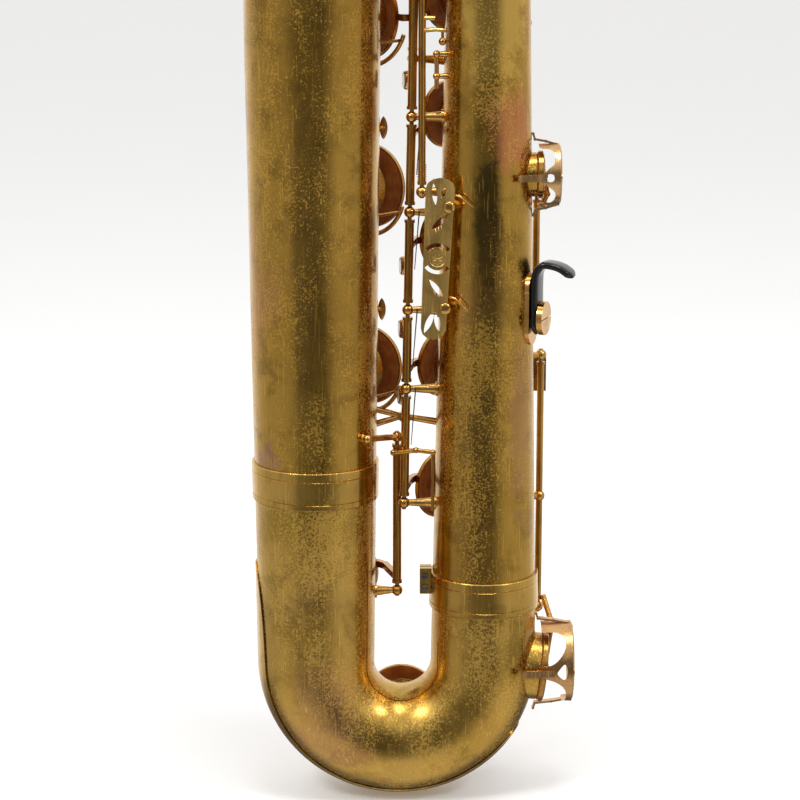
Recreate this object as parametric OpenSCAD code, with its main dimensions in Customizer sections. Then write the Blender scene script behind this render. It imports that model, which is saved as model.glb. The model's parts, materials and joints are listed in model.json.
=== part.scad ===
// Low-A baritone saxophone. The bell tube stands at -X, the body tube and the player at +X,
// and the key cups face +Y. The origin is the middle of the strap ring's hole.

/* [Tubes] */
// Distance between the axes of the bell tube and the body tube
tube_gap = 127.5; // [126:0.5:130]
// Thickness of the brass sheet
wall = 1.2; // [1:0.1:1.6]
// Diameter of the body tube where it meets the bow
body_d = 77.6; // [76:0.2:79]
// Narrowing of the body tube, mm of diameter per mm of height
body_taper = 0.0375; // [0.036:0.0005:0.039]
// Diameter of the bell tube where it meets the bow
bell_d = 89.4; // [88:0.2:90]
// Widening of the bell tube, mm of diameter per mm of height
bell_taper = 0.023; // [0.021:0.001:0.025]
// Height of the centre of the bow's bend above the lowest point
bend_z = 105; // [104:0.5:106]
// Height of the bell's rim
rim_z = 800; // [790:1:810]
// Radius of the bell's rim
rim_r = 88; // [84:1:90]
// Height of the top of the body tube
body_top_z = 955; // [945:1:965]

/* [Keys] */
// Outer radius of a hinge tube
hinge_r = 3.3; // [3:0.1:3.6]
// Radius of the steel rod inside the hinge tubes
rod_r = 1.6; // [1.4:0.1:1.8]
// Height that an open key stands off its tone hole
open_height = 7; // [6:0.5:8]
// Height of a tone hole's rim above the tube
chimney = 5; // [4.5:0.5:6]
// Thickness of a pad
pad_t = 4; // [3.5:0.1:4.5]
// Radius of the ball on a key post
ball_r = 4.3; // [4:0.1:4.8]

/* [Mounts] */
// Radius of the hole in the strap ring
ring_r = 8; // [7:0.5:9]
// Thickness of the strap ring
ring_t = 3.2; // [3:0.1:4]

/* [Hidden] */
$fn = 64;

bell_x = -tube_gap / 2;
body_x = tube_gap / 2;
bend_r = tube_gap / 2;
wall_taper = body_taper / 2;      // slope of the body tube's side
fit = 0.05;                       // running clearance round a shaft
knuckle = 0.6;                    // how much wider than its strap a bend's disc is
bell_joint_z = 248;               // middle of the ring that joins bell and bow
body_joint_z = 162;               // middle of the ring that joins body and bow
flare_z = 585;                    // where the bell starts to flare
flare_power = 3.4;
low_c_x = 2;
rod_x = 3;                        // the stack's rod where it starts, at rod_z
rod_y = -3;
rod_z = 226;
stack_az = 34;                    // direction that the stack's cups face, from +Y towards the bell
bell_az = -39;                    // direction that the bell's cups face, from +Y towards the body
strap_z = 650;

function body_r(z) = (body_d - (z - 183) * body_taper) / 2;
function bell_r(z) = (bell_d + (z - 151) * bell_taper) / 2;
function flare_r(z) = z < flare_z ? bell_r(z)
    : bell_r(z) + (rim_r - bell_r(rim_z)) * pow((z - flare_z) / (rim_z - flare_z), flare_power);
function rod_at(z) = [rod_x + wall_taper * (z - rod_z), rod_y, z];
function lerp(a, b, t) = a + (b - a) * t;

// Rods: [name, x, y, lower z, upper z], each along the body tube's side slope where it leans
a_rod = [9.5, 27];
b_rod = [-70, 77];
c_rod = [73, 56];
c_sharp_rod = [-2.2, 6];
e_flat_rod = [107, 30];
guided_r = 2.6;                   // a hinge tube that passes through a post
trill_rod = [102, 22];
lever_rod = [16, -11];
g_sharp_rod = [93, 30];
palm_rod = [94, -22];
octave_rod = [97.6, 8.2];

// Stack keys: [height, cup radius, lower end of hinge tube, upper end, height of the arm]
d_row = [232, 26.5, 234.6, 311.6, 240];
e_row = [328, 26, 322.6, 371.6, 331];
f_row = [425, 25.5, 382.6, 444.6, 425];
f_sharp_row = [518, 25, 455.6, 514.6, 508];
g_row = [605, 25, 525.6, 634.6, 605];
a_row = [668, 18, 645.6, 682.4, 668];
b_row = [707, 16, 693.6, 720.4, 707];
c_row = [741, 13, 731.6, 752.4, 741];
stack_post_z = [229, 317, 377, 450, 520, 640, 688, 726, 758];
stack_rows = [d_row, e_row, f_row, f_sharp_row, g_row, a_row, b_row, c_row];

// Bell keys: [height, cup radius]
low_a_row = [590, 32];
low_b_flat_row = [463, 32];
low_b_row = [325, 30.4];
low_c_sharp_row = [162, 28];
low_c_row = [50, 30];
e_flat_row = [103, 27];
trill_row = [477.5, 17.6];
rim_in = 1.3;   // a tone hole's wall, and how far a guarded hole's rim is inside its cup's edge
g_sharp_row = [561, 15];
palm_row = [838, 11];
octave_row = [872, 5.5];

c_sharp_az = -23;
g_sharp_az = -14;
palm_az = 200;
octave_az = -58;
e_flat_tilt = -6;

brass = [0.62, 0.47, 0.22];
polished = [0.78, 0.58, 0.26];
rose = [0.75, 0.55, 0.42];
steel = [0.35, 0.34, 0.33];
pad_brown = [0.30, 0.14, 0.08];
ebonite = [0.05, 0.05, 0.055];

// ---- helpers ----

// The frame of a tube at a height: +Y points out of the tube, turned az from the world's +Y
module on_tube(x, az, z, tilt = 0) {
    translate([x, 0, z]) rotate([0, 0, az]) rotate([tilt, 0, 0]) children();
}

// Turns its children about an upright line through p
module swing(p, angle) {
    translate([p[0], p[1], 0]) rotate([0, 0, angle]) translate([-p[0], -p[1], 0]) children();
}

// Turns its children about the stack's leaning rod
module swing_stack(angle) {
    translate(rod_at(rod_z)) rotate(angle, [wall_taper, 0, 1]) translate(-rod_at(rod_z)) children();
}

// A cylinder of radius r between the points p and q, widening to r2
module bar(p, q, r, r2 = 0) {
    d = q - p;
    len = norm(d);
    translate(p) rotate([0, acos(d[2] / len), atan2(d[1], d[0])])
        cylinder(r1 = r, r2 = r2 > 0 ? r2 : r, h = len);
}

// A flat strap of width w through 2D points, with slightly proud round knuckles
module strap(points, w) {
    for (i = [0:len(points) - 2]) {
        d = points[i + 1] - points[i];
        translate((points[i] + points[i + 1]) / 2) rotate(atan2(d[1], d[0]))
            square([norm(d), w], center = true);
    }
    for (p = points) translate(p) circle(d = w + knuckle);
}

// Stands its children's +Z out along +Y
module outward() { rotate([-90, 0, 0]) children(); }

// Outer radius of the tone hole's rim under an open key's cup of radius r
function rim_of(r) = r - min(8, 0.3 * r);

// The rim of a tone hole of outer radius r, as a solid plug from inside the tube to height h
module chimney_wall(r, h, from) { outward() translate([0, 0, from]) cylinder(r = r, h = h - from); }
module chimney_hole(r, h) { outward() translate([0, 0, 4]) cylinder(r = r - rim_in, h = h); }

// The thin metal cup that holds a pad; its mouth faces the tube at height h
module cup(r, h) {
    outward() translate([0, 0, h]) rotate_extrude()
        polygon([[0, pad_t + 0.2], [r - 1, pad_t + 0.2], [r - 1, 1.4], [r, 1.4], [r, pad_t + 0.4],
            [r - 1.2, pad_t + 1.4], [r * 0.6, pad_t + 2.2], [r * 0.3, pad_t + 2.9], [0, pad_t + 3.1]]);
}

module pad(r, h) {
    outward() translate([0, 0, h + 0.1]) rotate_extrude()
        polygon([[0, 0], [r - 3.4, 0], [r - 1.5, 0.7], [r - 1.1, 1.6], [r - 1.1, pad_t], [0, pad_t]]);
}

// A hinge tube round an upright rod, with a collar at each end
module hinge_tube(p, z0, z1, r = hinge_r) {
    translate([p[0], p[1], z0]) difference() {
        union() {
            cylinder(r = r, h = z1 - z0);
            for (z = [0, z1 - z0 - 2.2]) translate([0, 0, z]) cylinder(r = r + 0.6, h = 2.2);
        }
        translate([0, 0, -1]) cylinder(r = rod_r + fit, h = z1 - z0 + 2);
    }
}

// The same, on the stack's leaning rod
module stack_tube(z0, z1) {
    lean = atan(wall_taper);
    translate(rod_at(z0)) rotate([0, lean, 0]) difference() {
        union() {
            cylinder(r = hinge_r, h = z1 - z0);
            for (z = [0, z1 - z0 - 2.2]) translate([0, 0, z]) cylinder(r = hinge_r + 0.6, h = 2.2);
        }
        translate([0, 0, -1]) cylinder(r = rod_r + fit, h = z1 - z0 + 2);
    }
}

// Where a world point lies in the frame of a tube at x turned az
function local(p, x, az) = [(p[0] - x) * cos(az) + p[1] * sin(az),
                           -(p[0] - x) * sin(az) + p[1] * cos(az)];

// An arm from a rod at q over a cup of radius r whose mouth is at h; side is the rod's side of the cup
module cup_arm(q, r, h, side) {
    top = h + pad_t + 3.4;
    difference() {
        linear_extrude(height = 5, center = true)
            strap([q, [side * (r + 6), top - 3], [side * (r - 3), top + 1], [0, top]], 4.6);
        translate([q[0], q[1], -6]) cylinder(r = rod_r + fit + 0.6, h = 12);
    }
}

// A thin rib along a cup's back
module cup_rib(r, h) {
    translate([0, h + pad_t + 3, 0]) cube([r * 0.9, 2.4, 3.4], center = true);
}

// ---- the stack's keys, which stand open ----
function stack_angle(row) = asin(open_height / norm(local(rod_at(row[0]), body_x, stack_az)
    - [0, body_r(row[0]) + chimney]));

module stack_key(row) {
    z = row[0];
    h = body_r(z) + chimney;
    swing_stack(stack_angle(row)) {
        on_tube(body_x, stack_az, z) {
            cup(row[1], h);
            cup_rib(row[1], h);
        }
        on_tube(body_x, stack_az, row[4]) cup_arm(local(rod_at(row[4]), body_x, stack_az), row[1], h, -1);
        stack_tube(row[2], row[3]);
    }
}

// The finger button's arm: it runs straight back from the rod to a button that faces the player
module touch_arm(z) {
    p = rod_at(z);
    translate([p[0], p[1], z]) {
        difference() {
            linear_extrude(height = 4.4, center = true) strap([[0, 0], [-0.6, 9], [-1.2, 16]], 3.8);
            translate([0, 0, -5]) cylinder(r = rod_r + fit + 0.6, h = 10);
        }
        translate([-1.2, 19, 3]) rotate([0, 90, 0]) cylinder(r = 7, h = 2.4, center = true);
    }
}

module stack_pad(row) {
    swing_stack(stack_angle(row)) on_tube(body_x, stack_az, row[0]) pad(row[1], body_r(row[0]) + chimney);
}

module body_tube() {
    color(brass) difference() {
        union() {
            rotate_tube(body_x, body_joint_z, body_top_z);
            for (row = stack_rows)
                on_tube(body_x, stack_az, row[0]) chimney_wall(rim_of(row[1]), body_r(row[0]) + chimney, 12);
            on_tube(body_x, -90, trill_row[0]) chimney_wall(trill_row[1] - rim_in, trill_h, 12);
            on_tube(body_x, g_sharp_az, g_sharp_row[0])
                chimney_wall(rim_of(g_sharp_row[1]), body_r(g_sharp_row[0]) + chimney, 12);
            on_tube(body_x, palm_az, palm_row[0])
                chimney_wall(rim_of(palm_row[1]), body_r(palm_row[0]) + chimney, 12);
            on_tube(body_x, octave_az, octave_row[0])
                chimney_wall(rim_of(octave_row[1]), body_r(octave_row[0]) + chimney, 12);
        }
        translate([body_x, 0, 0]) rotate_extrude() polygon([[0, body_joint_z - 1],
            [body_r(body_joint_z - 1) - wall, body_joint_z - 1],
            [body_r(body_top_z + 1) - wall, body_top_z + 1], [0, body_top_z + 1]]);
        for (row = stack_rows)
            on_tube(body_x, stack_az, row[0]) chimney_hole(rim_of(row[1]), body_r(row[0]) + chimney);
        on_tube(body_x, -90, trill_row[0]) chimney_hole(trill_row[1] - rim_in, trill_h);
        on_tube(body_x, g_sharp_az, g_sharp_row[0])
            chimney_hole(rim_of(g_sharp_row[1]), body_r(g_sharp_row[0]) + chimney);
        on_tube(body_x, palm_az, palm_row[0]) chimney_hole(rim_of(palm_row[1]), body_r(palm_row[0]) + chimney);
        on_tube(body_x, octave_az, octave_row[0])
            chimney_hole(rim_of(octave_row[1]), body_r(octave_row[0]) + chimney);
    }
}

module rotate_tube(x, z0, z1) {
    translate([x, 0, 0]) rotate_extrude()
        polygon([[0, z0], [body_r(z0), z0], [body_r(z1), z1], [0, z1]]);
}

// ---- the bow: half a torus between two tapering legs ----
bow_r = body_r(bend_z) + 1;       // radius of the bend's pipe
leg_z = 140;                      // height on the bell's leg where it has widened to the bell's taper

module bow_solid(inset) {
    translate([0, 0, bend_z]) rotate([-90, 0, 0]) rotate_extrude(angle = 180) translate([bend_r, 0])
        circle(r = bow_r - inset);
    more = inset > 0 ? 1 : 0;
    translate([bell_x, 0, 0]) rotate_extrude() polygon([[0, bend_z], [bow_r - inset, bend_z],
        [bell_r(leg_z) - inset, leg_z], [bell_r(bell_joint_z) - inset, bell_joint_z + more],
        [0, bell_joint_z + more]]);
    translate([body_x, 0, 0]) rotate_extrude() polygon([[0, bend_z], [bow_r - inset, bend_z],
        [body_r(leg_z) - inset, leg_z], [body_r(body_joint_z) - inset, body_joint_z + more],
        [0, body_joint_z + more]]);
}

module pipe_faces(points, n, m) {
    out = [for (j = [0:m - 2], i = [0:n - 1])
        [j * n + i, j * n + (i + 1) % n, (j + 1) * n + (i + 1) % n, (j + 1) * n + i]];
    base = m * n;
    in = [for (j = [0:m - 2], i = [0:n - 1])
        [base + j * n + i, base + (j + 1) * n + i,
         base + (j + 1) * n + (i + 1) % n, base + j * n + (i + 1) % n]];
    first = [for (i = [0:n - 1]) [i, base + i, base + (i + 1) % n, (i + 1) % n]];
    last = [for (i = [0:n - 1]) [(m - 1) * n + i, (m - 1) * n + (i + 1) % n,
        base + (m - 1) * n + (i + 1) % n, base + (m - 1) * n + i]];
    polyhedron(points = points, faces = concat(out, in, first, last));
}

// A tone hole's plug and its hole, in a frame whose +Y points out of the tube
module rim_plug(r, h) { outward() translate([0, 0, 25]) cylinder(r = r, h = h - 25); }
module rim_hole(r) { outward() translate([0, 0, 20]) cylinder(r = r - rim_in, h = 40); }

low_c_h = bow_r + chimney + 1;
e_flat_h = bow_r + 1.2;
trill_h = body_r(trill_row[0]) + 3;
low_c_sharp_h = bell_r(low_c_sharp_row[0]) + chimney;

module at_low_c() { translate([low_c_x, 0, low_c_row[0]]) children(); }
module at_e_flat() { on_tube(body_x, -90, e_flat_row[0], e_flat_tilt) children(); }
module at_low_c_sharp() { on_tube(bell_x, c_sharp_az, low_c_sharp_row[0]) children(); }

module bow() {
    color(brass) difference() {
        union() {
            bow_solid(0);
            at_low_c() rim_plug(rim_of(low_c_row[1]), low_c_h);
            at_e_flat() rim_plug(e_flat_row[1] - rim_in, e_flat_h);
            at_low_c_sharp() rim_plug(rim_of(low_c_sharp_row[1]), low_c_sharp_h);
        }
        bow_solid(wall);
        at_low_c() rim_hole(rim_of(low_c_row[1]));
        at_e_flat() rim_hole(e_flat_row[1] - rim_in);
        at_low_c_sharp() rim_hole(rim_of(low_c_sharp_row[1]));
    }
}

// ---- the bell ----
bell_rows = [low_a_row, low_b_flat_row, low_b_row];
flare_steps = 14;

module bell_solid(inset) {
    z0 = bell_joint_z - (inset > 0 ? 1 : 0);
    top = rim_z + (inset > 0 ? 1 : 0);
    translate([bell_x, 0, 0]) rotate_extrude() polygon(concat(
        [[0, z0], [bell_r(z0) - inset, z0]],
        [for (k = [0:flare_steps]) let (z = lerp(flare_z, top, k / flare_steps)) [flare_r(z) - inset, z]],
        [[0, top]]));
}

module bell() {
    color(brass) difference() {
        union() {
            bell_solid(0);
            translate([bell_x, 0, rim_z - 1.4]) rotate_extrude() translate([rim_r - 0.6, 0])
                circle(r = 2.4);
            for (row = bell_rows)
                on_tube(bell_x, bell_az, row[0])
                    chimney_wall(rim_of(row[1]), bell_r(row[0]) + chimney + 1, 16);
        }
        bell_solid(wall);
        for (row = bell_rows)
            on_tube(bell_x, bell_az, row[0]) chimney_hole(rim_of(row[1]), bell_r(row[0]) + chimney + 1);
    }
}

// A joining ring whose bore follows a tube's slope, with two grooves
module ring_ferrule(x, z0, z1, r0, r1, proud) {
    translate([x, 0, 0]) rotate_extrude() polygon([
        [r0 + fit, z0], [r0 + proud - 0.5, z0], [r0 + proud, z0 + 0.6],
        [r0 + proud, z0 + 4], [r0 + proud - 0.6, z0 + 4.5], [r0 + proud, z0 + 5],
        [r1 + proud, z1 - 7], [r1 + proud - 0.6, z1 - 6.5], [r1 + proud, z1 - 6],
        [r1 + proud, z1 - 0.6], [r1 + proud - 0.5, z1], [r1 + fit, z1]]);
}

module bell_ferrule() {
    color(polished) ring_ferrule(bell_x, 233.7, 262.2, bell_r(233.7), bell_r(262.2), 2);
}

lug_x = 19;          // middle of the clamp lug on the body's ring
lug_z = [163, 172];     // heights of its two screws

module body_ferrule() {
    color(polished) difference() {
        union() {
            ring_ferrule(body_x, 148.4, 175.4, body_r(148.4), body_r(175.4), 2.2);
            difference() {
                translate([lug_x - 4, -6, 158]) cube([11, 12, 20]);
                translate([body_x, 0, 150]) cylinder(r = body_r(162) + 1, h = 40);
            }
        }
        translate([lug_x - 5, -0.8, 157]) cube([9.5, 1.6, 22]);
        for (z = lug_z) translate([lug_x, -7, z]) rotate([-90, 0, 0]) cylinder(r = rod_r + fit, h = 14);
    }
}

// A slotted screw along +Z, its head's underside at 0
module slotted_screw(head_r, head_h, shank_r, shank_l) {
    difference() {
        union() {
            cylinder(r = head_r, h = head_h);
            translate([0, 0, -shank_l]) cylinder(r = shank_r, h = shank_l + 0.01);
        }
        translate([-head_r - 1, -0.45, head_h * 0.45]) cube([2 * head_r + 2, 0.9, head_h]);
    }
}

module clamp_screws() {
    color(steel) {
        for (z = lug_z) translate([lug_x, -6.05, z]) rotate([90, 0, 0]) slotted_screw(2.6, 1.8, rod_r, 11.5);
        translate([receiver_p[0], receiver_p[1] - receiver_r - 5, receiver_z0 + 11]) rotate([0, -90, 0])
            translate([0, 0, 5.1]) slotted_screw(4.5, 2.4, rod_r, 9.8);
    }
}

// The brace between bell and body: three round arms from a boss, with a soldered foot on each
brace_y = 15;
brace_z = [283, 297];
brace_boss = [2, brace_y, 292];
module bell_brace() {
    bell_edge = bell_x + sqrt(pow(bell_r(300), 2) - pow(brace_y + 2, 2));
    body_edge = body_x - sqrt(pow(body_r(290), 2) - pow(brace_y + 2, 2));
    color(polished) {
        bar([bell_edge - 1, brace_y, brace_z[0] + 2], brace_boss, 2.6, 2);
        bar([bell_edge - 1, brace_y, brace_z[1] + 1], brace_boss, 2.5, 2.1);
        bar([body_edge + 1, brace_y, brace_z[0] + 4], brace_boss, 2.8, 2.2);
        translate(brace_boss) outward() cylinder(r = 3.6, h = 7, center = true);
        for (z = brace_z) bar([bell_edge - 2, brace_y, z], [bell_edge + 1, brace_y, z], 4.6);
        bar([body_edge + 2, brace_y, brace_z[0] + 4], [body_edge - 1, brace_y, brace_z[0] + 4], 5);
    }
}

// ---- the top: the arch, the loop, the receiver and the neck ----
arch_r = 36;                      // radius of the arch's centre line
arch_pipe_r = 22.5;
loop_r = 30;
loop_pipe_r = 18.2;
bent_pipe_r = 17.9;
up_pipe_r = 17.6;
loop_z = 878;
down_x = body_x - 2 * arch_r;
loop_turn = -53;                  // plan direction from the down tube to the receiver
receiver_p = [down_x + 2 * loop_r * cos(loop_turn), 2 * loop_r * sin(loop_turn)];
receiver_r = 16.6;
receiver_z0 = 972;
receiver_z1 = 996;

// A solid half loop of radius r that starts at +X and ends at -X
module half_loop(centre_r, r) {
    rotate([90, 0, 0]) rotate_extrude(angle = 180) translate([centre_r, 0]) circle(r = r);
}

module pipe(r, h) {
    difference() {
        cylinder(r = r, h = h);
        translate([0, 0, -1]) cylinder(r = r - wall, h = h + 2);
    }
}

module upper_arch() {
    color(brass) translate([down_x + arch_r, 0, body_top_z]) rotate([90, 0, 0])
        rotate_extrude(angle = 180) translate([arch_r, 0]) difference() {
            circle(r = arch_pipe_r);
            circle(r = arch_pipe_r - wall);
        }
}

module loop_solid(thin, past) {
    translate([down_x, 0, loop_z]) cylinder(r = loop_pipe_r - thin, h = body_top_z - loop_z - 0.1 + past);
    translate([down_x, 0, loop_z]) rotate([0, 0, loop_turn]) translate([loop_r, 0, 0]) mirror([0, 0, 1])
        half_loop(loop_r, bent_pipe_r - thin);
    translate([receiver_p[0], receiver_p[1], loop_z])
        cylinder(r = up_pipe_r - thin, h = receiver_z0 - loop_z - 0.1 + past);
}

module lower_loop() {
    color(brass) difference() {
        loop_solid(0, 0);
        loop_solid(wall, 1);
    }
}

module ring(x, y, z, r_in, r_out, h) {
    translate([x, y, z]) difference() {
        union() {
            cylinder(r = r_out - 0.8, h = h);
            translate([0, 0, 2]) cylinder(r = r_out, h = h - 4);
        }
        translate([0, 0, -1]) cylinder(r = r_in, h = h + 2);
    }
}

module loop_ferrules() {
    color(polished) {
        ring(body_x, 0, body_top_z - 13, body_r(body_top_z - 13) + fit, body_r(body_top_z) + 2.6, 13);
        ring(down_x, 0, body_top_z - 16, loop_pipe_r + fit, arch_pipe_r + 1.6, 15.9);
        ring(down_x, 0, loop_z + 0.1, loop_pipe_r + fit, loop_pipe_r + 2.4, 13);
        ring(receiver_p[0], receiver_p[1], loop_z + 0.1, up_pipe_r + fit, loop_pipe_r + 2.2, 13);
    }
}

module neck_receiver() {
    color(polished) translate([receiver_p[0], receiver_p[1], receiver_z0]) difference() {
        union() {
            cylinder(r = receiver_r + 1.2, h = 3);
            cylinder(r = receiver_r, h = receiver_z1 - receiver_z0);
            translate([-4.5, -receiver_r - 9, 5]) cube([9, 10, 12]);
        }
        translate([0, 0, -1]) cylinder(r = neck_r0 + fit, h = 40);
        translate([-0.7, -receiver_r - 10, 3]) cube([1.4, 14, 30]);
        translate([-8, -receiver_r - 5, 11]) rotate([0, 90, 0]) cylinder(r = rod_r + fit, h = 16);
    }
}

// The neck: a tapering pipe, straight up, bent towards the player, then straight and falling
neck_r0 = 14.6;
neck_r1 = 8.2;
neck_turn = 12;                   // plan direction of the neck, from +X
neck_bend = 98;
neck_bend_r = 44;
neck_bend_z = 1000;
neck_run = 96;
neck_sides = 24;
neck_steps = 14;
neck_length = neck_bend_z - receiver_z0 + neck_bend_r * neck_bend * PI / 180 + neck_run;
neck_start = [receiver_p[0], receiver_p[1], neck_bend_z];

// [distance out along the plan direction, height, angle turned, radius] of each ring
neck_rings = concat([[0, receiver_z0 + 3.2 - neck_bend_z, 0, neck_r0]],
    [for (k = [0:neck_steps]) let (a = neck_bend * k / neck_steps)
        [neck_bend_r * (1 - cos(a)), neck_bend_r * sin(a), a,
            neck_taper(neck_bend_z - receiver_z0 + neck_bend_r * a * PI / 180)]],
    [[neck_bend_r * (1 - cos(neck_bend)) + neck_run * sin(neck_bend),
        neck_bend_r * sin(neck_bend) + neck_run * cos(neck_bend), neck_bend, neck_r1]]);
function neck_taper(s) = s < 28 ? neck_r0 : lerp(neck_r0, neck_r1, (s - 28) / (neck_length - 28));
function neck_point(ring, r, turn) = neck_start + [
    (ring[0] - r * cos(turn) * cos(ring[2])) * cos(neck_turn) + r * sin(turn) * sin(neck_turn),
    (ring[0] - r * cos(turn) * cos(ring[2])) * sin(neck_turn) - r * sin(turn) * cos(neck_turn),
    ring[1] + r * cos(turn) * sin(ring[2])];

module neck() {
    n = neck_sides;
    color(brass) {
        pipe_faces([for (inset = [0, wall], ring = neck_rings, i = [0:n - 1])
            neck_point(ring, ring[3] - inset, 360 * i / n)], n, len(neck_rings));
    }
}

// The frame of the neck's straight end: +Z along it towards the player, +X down
neck_end = [neck_rings[len(neck_rings) - 1][0], neck_rings[len(neck_rings) - 1][1]];
module at_neck_end() {
    translate(neck_start + [neck_end[0] * cos(neck_turn), neck_end[0] * sin(neck_turn), neck_end[1]])
        rotate([0, 0, neck_turn]) rotate([0, neck_bend, 0]) children();
}

cork_l = 28;
cork_r = 9.8;
mouth_l = 105;
mouth_r = 14.5;
reed_x = 10.6;                    // distance of the reed's flat side below the axis

module neck_cork() {
    color([0.72, 0.55, 0.38]) at_neck_end() translate([0, 0, -cork_l - 0.5]) difference() {
        cylinder(r = cork_r, h = cork_l);
        translate([0, 0, -1]) cylinder(r1 = neck_r1 + 2.6, r2 = neck_r1 + fit, h = cork_l + 2);
    }
}

module mouthpiece() {
    color(ebonite) at_neck_end() translate([0, 0, -18]) difference() {
        rotate_extrude() polygon([[0, 0], [12.6, 0], [13, 0.6], [13, 4.4], [12.6, 5], [13, 5.6],
            [mouth_r, mouth_l * 0.45], [mouth_r, mouth_l * 0.6], [mouth_r - 0.6, mouth_l], [0, mouth_l]]);
        translate([0, 0, -1]) cylinder(r = cork_r + fit, h = 33);
        translate([0, 0, 20]) cylinder(r = 7.4, h = mouth_l - 34);
        translate([reed_x, -20, 36]) cube([20, 40, 90]);
        translate([-8.6, 0, mouth_l - 50]) rotate([0, 13.5, 0]) translate([-40, -30, -6]) cube([34, 60, 90]);
        translate([2, -5.5, mouth_l - 34]) cube([20, 11, 31]);
    }
}

module reed() {
    color([0.86, 0.76, 0.5]) at_neck_end() translate([0, 0, -18]) difference() {
        translate([reed_x + 0.02, -8, mouth_l - 66]) cube([3, 16, 65.6]);
        translate([reed_x + 3.05, -10, mouth_l - 33]) rotate([0, -4.6, 0]) cube([8, 20, 50]);
    }
}

module ligature() {
    color(polished) at_neck_end() translate([0, 0, mouth_l * 0.45]) difference() {
        union() {
            translate([0.6, 0, -8]) cylinder(r = 17.2, h = 22);
            for (z = [-3, 9]) translate([12, 0, z]) rotate([0, 90, 0]) cylinder(r = 2.6, h = 10);
        }
        translate([0.6, 0, -9]) cylinder(r = 16, h = 24);
    }
}

// ---- posts and rods ----

// A post on the body or bell tube: a soldered foot, a tapering stem and a ball round the rod
module post(x, tube_r, p) {
    d = norm([p[0] - x, p[1]]);
    on_tube(x, atan2(-(p[0] - x), p[1]), p[2]) {
        outward() translate([0, 0, tube_r - 0.6]) {
            cylinder(r = 5.6, h = 1.8);
            cylinder(r1 = 4.2, r2 = 2.3, h = d - tube_r - 2);
        }
        translate([0, d, 0]) sphere(r = ball_r);
    }
}

e_flat_post_z = [137.4, 226, 336.4];
c_post_z = [200];
a_post_z = [560, 684];
b_post_z = [295, 392, 500];
c_sharp_post_z = [157.5, 278];
lever_post_z = [466, 662];
trill_post_z = [396, 462];
g_sharp_post_z = [538, 586];
palm_post_z = [800, 862];
octave_post_z = [742, 884];

module body_posts(rod, heights) {
    for (z = heights) post(body_x, body_r(z), [rod[0], rod[1], z]);
}

module key_posts() {
    color(polished) difference() {
        union() {
            for (z = stack_post_z) post(body_x, body_r(z), rod_at(z));
            body_posts(e_flat_rod, e_flat_post_z);
            body_posts(c_rod, c_post_z);
            body_posts(lever_rod, lever_post_z);
            body_posts(trill_rod, trill_post_z);
            body_posts(g_sharp_rod, g_sharp_post_z);
            body_posts(palm_rod, palm_post_z);
            body_posts(octave_rod, octave_post_z);
            for (z = b_post_z) post(bell_x, bell_r(z), [b_rod[0], b_rod[1], z]);
            for (z = a_post_z) post(body_x, body_r(z), [a_rod[0], a_rod[1], z]);
            post(bell_x, bell_r(c_sharp_post_z[0]), [c_sharp_rod[0], c_sharp_rod[1], c_sharp_post_z[0]]);
            c_sharp_bracket();
            translate([c_rod[0], c_rod[1], 48]) sphere(r = ball_r);
            bar([c_rod[0], 34, 56], [c_rod[0], c_rod[1], 48], 3.6, 2.3);
            at_neck_end() translate([-neck_vent_x - 2, 0, -neck_vent_l]) saddle(9.4, 9.4);
            at_water() translate([9, 0, -3]) rotate([0, -90, 0]) saddle(6.4, 7.8);
        }
        rods(rod_r + 0.02);
        translate([e_flat_rod[0], e_flat_rod[1], e_flat_post_z[1] - 6]) cylinder(r = guided_r + fit, h = 12);
    }
}

// The upper bearing of the low C sharp rod, on a long arm from the front of the bell
bracket_end = [-24, -31, c_sharp_post_z[1] + 7];
module c_sharp_bracket() {
    z = c_sharp_post_z[1];
    translate([c_sharp_rod[0], c_sharp_rod[1], z]) sphere(r = ball_r);
    bar([c_sharp_rod[0], c_sharp_rod[1], z], bracket_end, 2.4);
    translate(bracket_end) sphere(r = 3.4);
    bar(bracket_end, bracket_end + [-4, 4, 0], 2.2, 4);
}

// Two lugs beside a small hinge whose axis is Y; the tube lies d away along +X
module saddle(half, d) {
    for (side = [-1, 1]) translate([-2.6, side * (half + 1) - 1, -2.6]) cube([d, 2, 5.2]);
    translate([3.1, -half - 2, -2.6]) cube([d - 5.7, 2 * half + 4, 5.2]);
}

module rod_line(rod, z0, z1, r) { translate([rod[0], rod[1], z0]) cylinder(r = r, h = z1 - z0); }

module rods(r) {
    bar(rod_at(stack_post_z[0] - 5), rod_at(stack_post_z[8] + 3), r);
    rod_line(e_flat_rod, e_flat_post_z[0] - 4.5, e_flat_post_z[2] + 4.5, r);
    rod_line(c_rod, 43.5, c_post_z[0] + 4.5, r);
    rod_line(lever_rod, lever_post_z[0] - 4.5, lever_post_z[1] + 4.5, r);
    rod_line(trill_rod, trill_post_z[0] - 4.5, trill_post_z[1] + 4.5, r);
    rod_line(g_sharp_rod, g_sharp_post_z[0] - 4.5, g_sharp_post_z[1] + 4.5, r);
    rod_line(palm_rod, palm_post_z[0] - 4.5, palm_post_z[1] + 4.5, r);
    rod_line(octave_rod, octave_post_z[0] - 4.5, octave_post_z[1] + 4.5, r);
    rod_line(b_rod, b_post_z[0] - 4.5, b_post_z[2] + 4.5, r);
    rod_line(a_rod, a_post_z[0] - 4.5, a_post_z[1] + 4.5, r);
    rod_line(c_sharp_rod, c_sharp_post_z[0] - 4.5, c_sharp_post_z[1] + 4.5, r);
    at_neck_end() translate([-neck_vent_x - 2, -12, -neck_vent_l]) rotate([-90, 0, 0]) cylinder(r = r, h = 24);
    at_water() translate([9, -9, -3]) rotate([-90, 0, 0]) cylinder(r = r, h = 18);
}

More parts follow.
